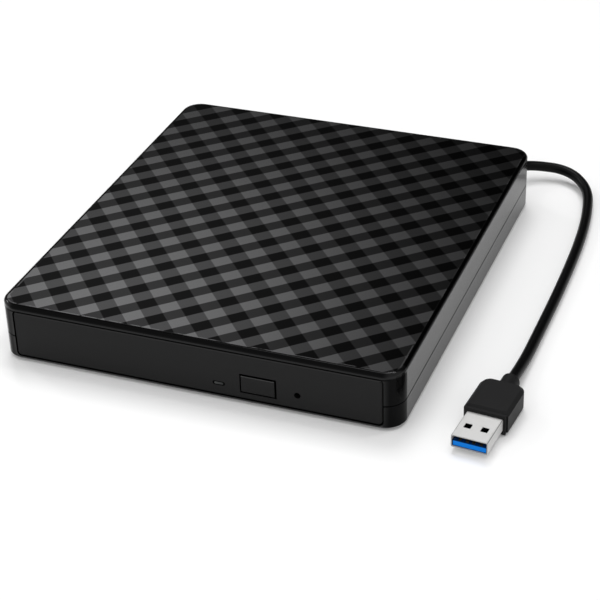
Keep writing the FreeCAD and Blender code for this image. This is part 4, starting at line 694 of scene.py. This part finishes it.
def sheet_metal(name, dark, light, rough, origin=(0, 0, 0), turn=0.0):
    """Rolled or drawn metal: streaks along its grain, and a haze of fine stains."""
    finish = Finish(name)
    spot = finish.place(origin, turn)[0]
    streak = finish.speckle(spot, 1.5, 4.0, stretch=(0.3, 4.0, 4.0))
    stain = finish.speckle(spot, 0.12, 3.0)
    finish.surface(finish.tint(streak * 0.6 + stain * 0.4, dark, light),
                   rough + streak * 0.10 + stain * 0.08, Metallic=0.92,
                   Normal=finish.bump(streak, 0.12))
    return finish


zinc = Finish("zinc_sheet")
spot = zinc.place()[0]
spangle = zinc.add("ShaderNodeTexVoronoi", None, {"Vector": spot, "Scale": 0.35}, output=1)
spangle = zinc.add("ShaderNodeSeparateColor", None, {0: spangle})
streak = zinc.speckle(spot, 1.0, 4.0, stretch=(4.0, 0.3, 4.0))
zinc.surface(zinc.tint(streak * 0.6 + spangle * 0.4, (0.27, 0.27, 0.265), (0.40, 0.40, 0.395)),
             0.38 + streak * 0.12 + spangle * 0.06, Metallic=0.92,
             Normal=zinc.bump(streak, 0.12))
dress(zinc, "drive_base", "drive_lid", "latch_post")

# Slides: natural guide channels moulded in low friction plastic, and cold rolled steel rails with
# streaks of grease from the tray's travel.
dress(moulded("natural_guide", (0.50, 0.49, 0.45), (0.62, 0.61, 0.57), 0.42, grain=1.5),
      "guide_left", "guide_right")

rail = Finish("greased_rail")
spot = rail.place()[0]
drawn = rail.speckle(spot, 1.2, 4.0, stretch=(4.0, 0.12, 4.0))
smear = rail.speckle(spot, 0.5, 3.0, stretch=(1.0, 0.2, 1.0)).soft_step(0.50, 0.62)
steel = rail.tint(drawn, (0.40, 0.40, 0.39), (0.56, 0.56, 0.55))
rail.surface(rail.tint(smear, steel, (0.30, 0.27, 0.20)), 0.34 - smear * 0.16 + drawn * 0.1,
             Metallic=1.0 - smear * 0.4, Normal=rail.bump(drawn + smear, 0.15))
dress(rail, "rail_left", "rail_right")

# Circuit boards: glass laminate under a green mask. Copper tracks show through it as paler lines,
# and bare tinned pads stand in rows.
mask = Finish("green_board")
spot, x, y, _ = mask.place()
lane_step = 5.2
area = mask.speckle(spot, 0.16) > 0.5
lane = area * (x * lane_step).wave() + (1.0 - area) * (y * lane_step).wave()
wanted = mask.speckle(spot, 0.30, 1.0).soft_step(0.42, 0.46)
track = lane.soft_step(0.25, 0.5) * wanted
flat_spot = mask.add("ShaderNodeMapping", None, {"Vector": spot, "Scale": (1.0, 1.0, 0.0)})
pad = mask.add("ShaderNodeTexVoronoi", None,
               {"Vector": flat_spot, "Scale": 0.38, "Randomness": 0.6})
pad = (0.19 - pad).soft_step(0.0, 0.03) * (1.0 - wanted)
laid = mask.tint(track, (0.010, 0.072, 0.028), (0.020, 0.130, 0.050))
mask.surface(mask.tint(pad, laid, (0.52, 0.50, 0.45)), 0.30 + pad * 0.12, Metallic=pad * 0.9,
             Normal=mask.bump(track + pad, 0.3, 0.03))
dress(mask, "bridge_board", "connector_board", "tray_board")

# Chips and cans on the boards: black moulded packages with tinned legs at their sides, and
# aluminium cans with a dark sleeve.
package = Finish("chip_package")
spot, _, _, z = package.place()
fine = package.speckle(spot, 8.0, 3.0)
tallest_chip = 12.5
can_top = z > tallest_chip
moulding = package.tint(fine, (0.012, 0.012, 0.013), (0.024, 0.024, 0.025))
package.surface(package.tint(can_top, moulding, (0.60, 0.60, 0.59)),
                0.55 - can_top * 0.2 + fine * 0.1, Metallic=can_top * 0.9,
                Normal=package.bump(fine, 0.3))
dress(package, "tray_components", "bridge_components")

legs = Pattern("gull_wing_leg", "length", "width", "height")
size = legs.given
metal = 0.12
level = legs.cube(X=size["length"] * 0.5, Y=size["width"], Z=metal)
riser = legs.cube(X=metal, Y=size["width"], Z=size["height"])
legs.repeat(legs.joined(legs.moved(level, X=size["length"] * 0.75, Z=metal / 2),
                        legs.moved(riser, X=size["length"] * 0.5, Z=size["height"] * 0.5),
                        legs.moved(level, X=size["length"] * 0.25, Z=size["height"])))
tinned = sheet_metal("tinned_legs", (0.50, 0.49, 0.46), (0.66, 0.65, 0.62), 0.30)


def round_chip(x0, y0, x1, y1, z, count):
    """Places for legs along the four sides of a chip, clear of its corners."""
    clear = 0.4
    places = []
    for index in range(count):
        share = (index + 0.5) / count
        along_x = x0 + clear + (x1 - x0 - 2 * clear) * share
        along_y = y0 + clear + (y1 - y0 - 2 * clear) * share
        places += [(x1, along_y, z, 0), (along_x, y1, z, 90), (x0, along_y, z, 180),
                   (along_x, y0, z, 270)]
    return places


tray_board_low, tray_board_top = (corner.z for corner in box_mm("tray_board"))
bridge_board_top = box_mm("bridge_board")[1].z
for name, places, body in (
        ("tray_chip_legs", round_chip(16, -60, 25, -51, tray_board_top, 12), "tray"),
        ("bridge_chip_legs", round_chip(12, 61, 19, 68, bridge_board_top, 9), "case")):
    legs.draw(name, places, tinned, body, "contact_metal", length=0.9, width=0.22, height=0.45)

# Board screws: small cross head screws, zinc plated. Three go down through the bridge board into
# its posts, and three go up through the tray's board.
bridge_board_holes = [(-46, 60), (-46, 70.5), (46, 70.5)]
screws.draw("bridge_board_screws", [(x, y, bridge_board_top) for x, y in bridge_board_holes],
            plated, "case", "drive_steel", head=1.9, rise=0.9, shank=0.9, reach=3.0)
tray_board_holes = [(4, -68), (29, -66.5), (28, -40)]
screws.draw("tray_board_screws", [(x, y, tray_board_low) for x, y in tray_board_holes],
            plated, "tray", "drive_steel", tilt=(180, 0, 0), head=1.7, rise=0.6, shank=0.8,
            reach=2.5)

# Connectors: black mouldings with glass in them, soldered to their boards. They meet in the back
# wall of the drive.
dress(moulded("connector_moulding", (0.014, 0.014, 0.015), (0.028, 0.028, 0.029), 0.48, grain=6.0),
      "sata_connector", "drive_connector")

# Flat cable: printed copper lanes between two amber films, pressed together with glue and laid on
# the drive's floor.
film = Finish("amber_film")
spot, x, _, _ = film.place()
lane_pitch = 1.0
lanes = (x * (circle / lane_pitch)).wave().soft_step(-0.1, 0.1)
ripple = film.speckle(spot, 0.2, 3.0)
film.surface(film.tint(lanes, (0.30, 0.13, 0.030), (0.50, 0.27, 0.085)), 0.26 + ripple * 0.12,
             Normal=film.bump(ripple, 0.3, 0.2))
dress(film, "ribbon_cable")

# Tray: one black moulding. The two disc wells have a smoother face than the deck and the skirts,
# and light scuffs from discs lie in them.
disc_centre = (0, -11.4, 0)
well_radius = 60.3
tray_plastic = Finish("tray_moulding")
spot, x, y, z = tray_plastic.place()
from_disc = x.diagonal(y - disc_centre[1])
in_well = (well_radius - from_disc).soft_step(0.0, 0.4) * z.soft_step(11.7, 11.85)
grit = tray_plastic.speckle(spot, 4.0, 3.0)
scuff = tray_plastic.speckle(spot, 0.7, 4.0).soft_step(0.60, 0.72) * in_well
worn = grit * (1.0 - in_well * 0.5) + scuff * 0.6
tray_plastic.surface(tray_plastic.tint(worn, (0.0085, 0.0085, 0.0088), (0.0190, 0.0190, 0.0195)),
                     0.46 + grit * 0.12 - in_well * 0.12, Specular_IOR_Level=0.4,
                     Normal=tray_plastic.bump(grit * (1.0 - in_well * 0.7), 0.45, 0.03))
dress(tray_plastic, "tray")

# Latch: a natural acetal lever on a moulded pin, kept by a spring steel clip, and a solenoid whose
# yoke holds a bobbin of enamelled copper wire.
dress(moulded("acetal_lever", (0.56, 0.55, 0.51), (0.68, 0.67, 0.63), 0.36, grain=2.0),
      "latch_lever")
dress(sheet_metal("yoke_steel", (0.28, 0.28, 0.275), (0.42, 0.42, 0.41), 0.36), "latch_solenoid")

windings = Pattern("wound_coil", "width", "height", "wire", "length")
size = windings.given
former = windings.add("GeometryNodeCurvePrimitiveQuadrilateral", None,
                      {"Width": size["width"], "Height": size["height"]})
eased = windings.add("GeometryNodeFilletCurve", {"mode": "POLY"},
                     {"Curve": former, "Count": 3, "Radius": size["wire"] * 1.5})
one_turn = windings.wire(eased, 6, size["wire"] * 0.5)
row = windings.add("GeometryNodeMeshLine", None,
                   {"Count": size["length"] / size["wire"],
                    "Offset": windings.vector(Z=size["wire"])})
turns = windings.add("GeometryNodeInstanceOnPoints", None, {"Points": row, "Instance": one_turn})
windings.repeat(windings.add("GeometryNodeRealizeInstances", None, {0: turns}))

enamel = Finish("enamelled_copper")
spot = enamel.place()[0]
varnish = enamel.speckle(spot, 1.2, 3.0)
enamel.surface(enamel.tint(varnish, (0.48, 0.17, 0.07), (0.66, 0.28, 0.12)),
               0.24 + varnish * 0.12, Metallic=0.9)
coil_wire = 0.28
bobbin = 3.8 + coil_wire
bobbin_end = (37.85, -44, 8.7)
windings.draw("solenoid_winding", [bobbin_end], enamel, "tray", "solenoid_metal",
              tilt=(0, 90, 0), width=bobbin, height=bobbin, wire=coil_wire, length=7.4)


def lathed(profile, steps=36, gap=0.0):
    """A shape turned about Z from points (radius, height), with a share of the round left open."""
    rings = []
    for index in range(steps + 1 if gap else steps):
        angle = circle * (gap / 2 + (1 - gap) * index / steps)
        rings.append([(radius * math.cos(angle), radius * math.sin(angle), level)
                      for radius, level in profile])
    return skin(rings, closed=not gap)


latch_pin = (44, -56, 0)
clip_low, clip_high = 6.15, 6.45
clip_inner, clip_outer = 1.52, 2.4
clip = lathed([(clip_inner, clip_low), (clip_outer, clip_low), (clip_outer, clip_high),
               (clip_inner, clip_high)], steps=22, gap=0.16)
spring_steel = sheet_metal("spring_steel", (0.30, 0.30, 0.30), (0.46, 0.46, 0.46), 0.26)
set_down(clip, "latch_clip", spring_steel, "tray", "drive_steel", latch_pin)

# Traverse plate: zinc plated steel, blanked and bent, hung on four soft rubber grommets by
# shouldered screws. Its grain runs along the pickup's travel.
travel_turn = 228
travel = (disc_centre, travel_turn)


def on_traverse(u, v, *rest):
    """The place of a point that is given along and across the pickup's travel."""
    angle = math.radians(travel_turn)
    return (u * math.cos(angle) - v * math.sin(angle),
            disc_centre[1] + u * math.sin(angle) + v * math.cos(angle), *rest)


dress(sheet_metal("blanked_plate", (0.20, 0.20, 0.195), (0.33, 0.33, 0.32), 0.34, *travel),
      "mechanism_plate")
dress(moulded("grommet_rubber", (0.012, 0.012, 0.012), (0.026, 0.026, 0.025), 0.66, grain=4.0,
              shine=0.35), "traverse_dampers")
GROMMETS = [(-17, -14), (-17, 13.5), (50, -21.5), (44, 27)]
grommet_low = 9.3
screws.draw("traverse_screws", [on_traverse(u, v, grommet_low) for u, v in GROMMETS], plated,
            "tray", "drive_steel", tilt=(180, 0, 0), head=2.2, rise=0.8, shank=1.0,
            reach=1.5)

# Spindle motor: a pressed base with a sintered bearing, and a laminated stator whose teeth carry
# copper windings. Three screws hold it to the plate.
motor = Finish("motor_base")
spot, x, y, z = motor.place(*travel)
from_axis = x.diagonal(y)
coil_inner, coil_outer, coil_low = 3.4, 8.6, 7.2
strand_width = 0.22
copper = (from_axis > coil_inner) * (from_axis < coil_outer) * (z > coil_low)
press = motor.speckle(spot, 0.35, 3.0)
strands = (from_axis * (circle / strand_width)).wave()
pressed = motor.tint(press, (0.26, 0.26, 0.255), (0.40, 0.40, 0.39))
motor.surface(motor.tint(copper, pressed, (0.60, 0.24, 0.10)), 0.34 + press * 0.14,
              Metallic=0.92, Normal=motor.bump(press * 0.4 + strands * copper, 0.15))
dress(motor, "spindle_motor")
ears = [(-15.5, 0), (0, 15.5), (0, -15.5)]
ear_low = 6.0
screws.draw("motor_screws", [on_traverse(u, v, ear_low) for u, v in ears], plated, "tray",
            "motor_metal", tilt=(180, 0, 0), head=1.3, rise=0.16, shank=0.8, reach=3.5)

# Rotor: a steel cup with its shaft pressed in, which spins over the stator. It is turned, and fine
# rings from the lathe run round it.
turned = Finish("turned_rotor")
spot, x, y, z = turned.place(*travel)
from_axis = x.diagonal(y)
face_pitch, wall_pitch = 0.20, 0.24
lathe = ((from_axis * (circle / face_pitch)).wave() * 0.5
         + (z * (circle / wall_pitch)).wave() * 0.5)
mist = turned.speckle(spot, 0.5, 3.0)
turned.surface(turned.tint(lathe * 0.25 + mist * 0.5 + 0.2, (0.44, 0.44, 0.44), (0.60, 0.60, 0.60)),
               0.22 + mist * 0.12, Metallic=1.0, Normal=turned.bump(lathe, 0.2))
dress(turned, "spindle_rotor")

# Disc hub: a black moulding pressed on the shaft, whose steel tip shows in its nose. A soft ring
# carries the disc, and three sprung claws hold it.
hub = Finish("hub_moulding")
spot, x, y, z = hub.place(*travel)
from_axis = x.diagonal(y)
shaft_radius, groove_radius = 1.5, 3.6
nose = z.soft_step(15.7, 15.8)
tip = (shaft_radius - from_axis).soft_step(0.0, 0.05) * nose
groove = from_axis.near(groove_radius, 0.10, 0.22) * nose
fine = hub.speckle(spot, 6.0, 3.0)
black = hub.tint(fine, (0.012, 0.012, 0.0125), (0.026, 0.026, 0.027))
hub.surface(hub.tint(tip, black, (0.62, 0.62, 0.61)), 0.36 - tip * 0.12 + fine * 0.10,
            Metallic=tip, Normal=hub.bump(fine * 0.4 - groove * 3.0, 0.3, 0.04))
dress(hub, "disc_hub")
dress(moulded("seat_ring", (0.020, 0.020, 0.020), (0.040, 0.040, 0.039), 0.74, grain=3.0,
              relief=0.04, shine=0.3), "disc_pad")
dress(moulded("claw_moulding", (0.42, 0.42, 0.40), (0.54, 0.54, 0.52), 0.34, grain=3.0),
      "hub_claw_1", "hub_claw_2", "hub_claw_3")

# Guide rods: two rods of ground stainless steel, wiped with grease. They lie in black moulded
# clamps that are screwed to the plate.
rods = Finish("ground_rod")
spot = rods.place(*travel)[0]
hone = rods.speckle(spot, 3.0, 3.0, stretch=(5.0, 0.4, 0.4))
oil = rods.speckle(spot, 0.3, 2.0, stretch=(0.4, 1.0, 1.0))
rods.surface(rods.tint(hone, (0.58, 0.58, 0.58), (0.72, 0.72, 0.71)),
             0.14 + hone * 0.08 + oil * 0.06, Metallic=1.0, Normal=rods.bump(hone, 0.08))
dress(rods, "guide_rod_main", "guide_rod_side")
dress(moulded("clamp_moulding", (0.014, 0.014, 0.0145), (0.028, 0.028, 0.029), 0.42), "rod_clamps")

# Pickup sled: a die cast body with a sandy skin and bright machined bores. A thin steel cover is
# screwed on its tower, round the lens, and a small board stands behind it.
cast = Finish("die_cast")
spot, _, y, z = cast.place(*travel)
sand = cast.speckle(spot, 2.6, 4.0)
flow = cast.speckle(spot, 0.25, 3.0)
bore_side, bore_height = 15.0, 8.0
bright = y.near(bore_side, 1.2, 1.5) * z.near(bore_height, 1.2, 1.5)
worked = sand * 0.5 + flow * 0.5 + bright * 0.4
cast.surface(cast.tint(worked, (0.22, 0.22, 0.22), (0.38, 0.38, 0.375)),
             0.44 + sand * 0.16 - bright * 0.16, Metallic=0.88,
             Normal=cast.bump(sand * (1.0 - bright), 0.45, 0.04))
dress(cast, "pickup_sled")

tower_top = 11.2
cover_top = tower_top + 0.18
board_low = 9.8
board_top = board_low + 0.6
under = 6.1
cover = carved(block((17.8, -6.7, tower_top), (26.9, 6.7, cover_top)),
               [block((20.3, -5.2, tower_top - 1), (26.7, 5.2, tower_top + 1)),
                block((18.2, -1.2, tower_top - 1), (19.4, 1.2, tower_top + 1))], 0.04)
shield = carved(block((16.4, -13.6, under - 0.12), (29.6, -2.0, under)),
                [block((19.0, -9.6, under - 1), (23.5, -5.6, under + 1)),
                 block((25.5, -11.6, under - 1), (27.9, -4.0, under + 1))], 0.0)
board = block((27.5, -5.5, board_low), (30.6, 5.5, board_top), 0.05)
chip = block((28.1, -3.4, board_top), (30.0, -0.4, board_top + 0.4), 0.06)
strap = block((16.4, 0.4, under - 0.10), (29.6, 13.6, under), 0.02)
driver = block((19.2, 3.4, under - 0.20), (23.2, 7.4, under), 0.03)
cover_steel = sheet_metal("cover_steel", (0.26, 0.26, 0.255), (0.40, 0.40, 0.39), 0.26, *travel)
set_down(cover, "pickup_cover", cover_steel, "pickup", "pickup_metal", *travel)
screws.draw("pickup_screws", [on_traverse(18.8, v, cover_top) for v in (-5.2, 5.2)], plated,
            "pickup", "pickup_metal", head=0.8, rise=0.3, shank=0.4, reach=1.0)
for name, shape, finish, slot in (("pickup_board", board, mask, "circuit_board"),
                                  ("pickup_chip", chip, package, "chip_plastic"),
                                  ("pickup_shield", shield, cover_steel, "pickup_metal"),
                                  ("pickup_film", strap, film, "ribbon_film"),
                                  ("pickup_driver", driver, package, "chip_plastic")):
    set_down(shape, name, finish, "pickup", slot, *travel)
low_holes = [(17.6, -12.4), (28.4, -2.9), (28.0, 12.2)]
screws.draw("pickup_low_screws", [on_traverse(u, v, under - 0.1) for u, v in low_holes], plated,
            "pickup", "pickup_metal", tilt=(180, 0, 0), head=0.8, rise=0.12, shank=0.4, reach=1.0)

# Motor lead: a strip of the same amber film, glued under the traverse plate. It runs from the
# spindle motor past the feed motor, dips below the plate's edge and ends in the tray board.


def strip(path, width, thick):
    """A flat band along points, level across its width."""
    rings = []
    for index, point in enumerate(path):
        way = Vector(path[min(index + 1, len(path) - 1)]) - Vector(path[max(index - 1, 0)])
        side = Vector((way.y, -way.x, 0)).normalized() * (width / 2)
        lift = Vector((0, 0, thick / 2))
        middle = Vector(point)
        rings.append([middle - side - lift, middle + side - lift, middle + side + lift,
                      middle - side + lift])
    return skin(rings, closed=False)


UNDER_PLATE = [(10.6, 6.9), (11.4, 7.6), (12.0, 9.2), (12.8, 9.88), (20, 9.9), (28.0, 9.9),
               (28.9, 9.4), (29.6, 8.5), (30.6, 8.1), (33.0, 7.9)]
TO_BOARD = [(30.2, -32.6, 7.8), (31.4, -36.0, 7.7), (31.5, -42.6, 7.7), (30.7, -44.8, 7.8),
            (28.6, -46.0, 7.9)]
lead_side = -6
lead_path = [on_traverse(lead_side, v, z) for v, z in UNDER_PLATE] + TO_BOARD
set_down(strip(lead_path, 2.2, 0.12), "motor_lead", film, "tray", "ribbon_film")

# Lens: a small domed glass in a round seat, carried by a black frame between two flat copper
# coils. The frame floats on wires in the sled.
lens_low, lens_high = box_mm("pickup_lens")
lens_at = 23.5
frame_low, frame_high = lens_low.z, lens_high.z - 0.35
carrier = block((lens_at - 3, -4.4, frame_low), (lens_at + 3, 4.4, frame_high), 0.25, 3)
frame_plastic = moulded("lens_frame", (0.008, 0.008, 0.0085), (0.016, 0.016, 0.0165), 0.34,
                        grain=6.0)
framed = set_down(carrier, "lens_frame", frame_plastic, "lens", "lens_glass", *travel)
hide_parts("pickup_lens")
seat = lathed([(1.45, frame_high - 0.2), (2.45, frame_high - 0.2), (2.45, frame_high + 0.10),
               (2.25, frame_high + 0.20), (1.75, frame_high + 0.20), (1.55, frame_high + 0.05)])
set_down(seat, "lens_seat", cover_steel, "lens", "lens_glass", on_traverse(lens_at, 0, 0))
dome_radius, dome_rise, dome_steps = 1.7, 0.33, 8
pinhole = 0.001
bow = []
for step in range(dome_steps + 1):
    angle = step / dome_steps * math.pi / 2
    bow.append((dome_radius * math.sin(angle) + pinhole, frame_high + dome_rise * math.cos(angle)))
glass = lathed([*bow, (dome_radius, frame_high - 0.15), (pinhole, frame_high - 0.15)])
coated = Finish("coated_glass")
spot = coated.place(*travel)[0]
# Painted sheen: the glass's colour is painted paler where it is seen edge on.
edge_on = coated.add("ShaderNodeLayerWeight", None, {"Blend": 0.35}, output=1)
smudge = coated.speckle(spot, 1.5)
coated.surface(coated.tint(edge_on, (0.020, 0.012, 0.060), (0.10, 0.05, 0.16)),
               0.03 + smudge * 0.05, Coat_Weight=0.8, Coat_Roughness=0.02)
set_down(glass, "lens_glass", coated, "lens", "lens_glass", on_traverse(lens_at, 0, 0))
windings.draw("focus_coils", [on_traverse(lens_at, v, frame_low + 0.25, travel_turn)
                              for v in (-4.7, 4.7)],
              enamel, "lens", "lens_glass", width=4.6, height=0.42, wire=0.14, length=1.1)

# Feed: a small stepping motor in a folded steel can, and a ground screw with a rolled thread that
# moves the sled's nut.
dress(sheet_metal("motor_can", (0.30, 0.30, 0.295), (0.46, 0.46, 0.45), 0.28, *travel),
      "feed_motor")

threads = Pattern("rolled_thread", "radius", "depth", "pitch", "start", "length", "whole")
size = threads.given
crest = size["radius"] - size["depth"] * 0.5
helix = threads.add("GeometryNodeCurveSpiral", None,
                    {"Resolution": 16, "Rotations": size["length"] / size["pitch"],
                     "Start Radius": crest, "End Radius": crest, "Height": size["length"]})
ridge = threads.wire(helix, 4, size["depth"] * 0.5, capped=True)
core = threads.add("GeometryNodeMeshCylinder", None,
                   {"Vertices": 20, "Radius": size["radius"] - size["depth"],
                    "Depth": size["whole"]})
threads.repeat(threads.joined(threads.moved(ridge, Z=size["start"]),
                              threads.moved(core, Z=size["whole"] * 0.5)))
screw_end = on_traverse(-10.6, 21.5, 8.0)
lead_screw = threads.draw("rolled_lead_screw", [screw_end], rods, "feed_screw", "rod_steel",
                          tilt=(0, 90, travel_turn), radius=0.98, depth=0.26, pitch=3.0,
                          start=2.9, length=65.4, whole=71.2)
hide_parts("lead_screw")
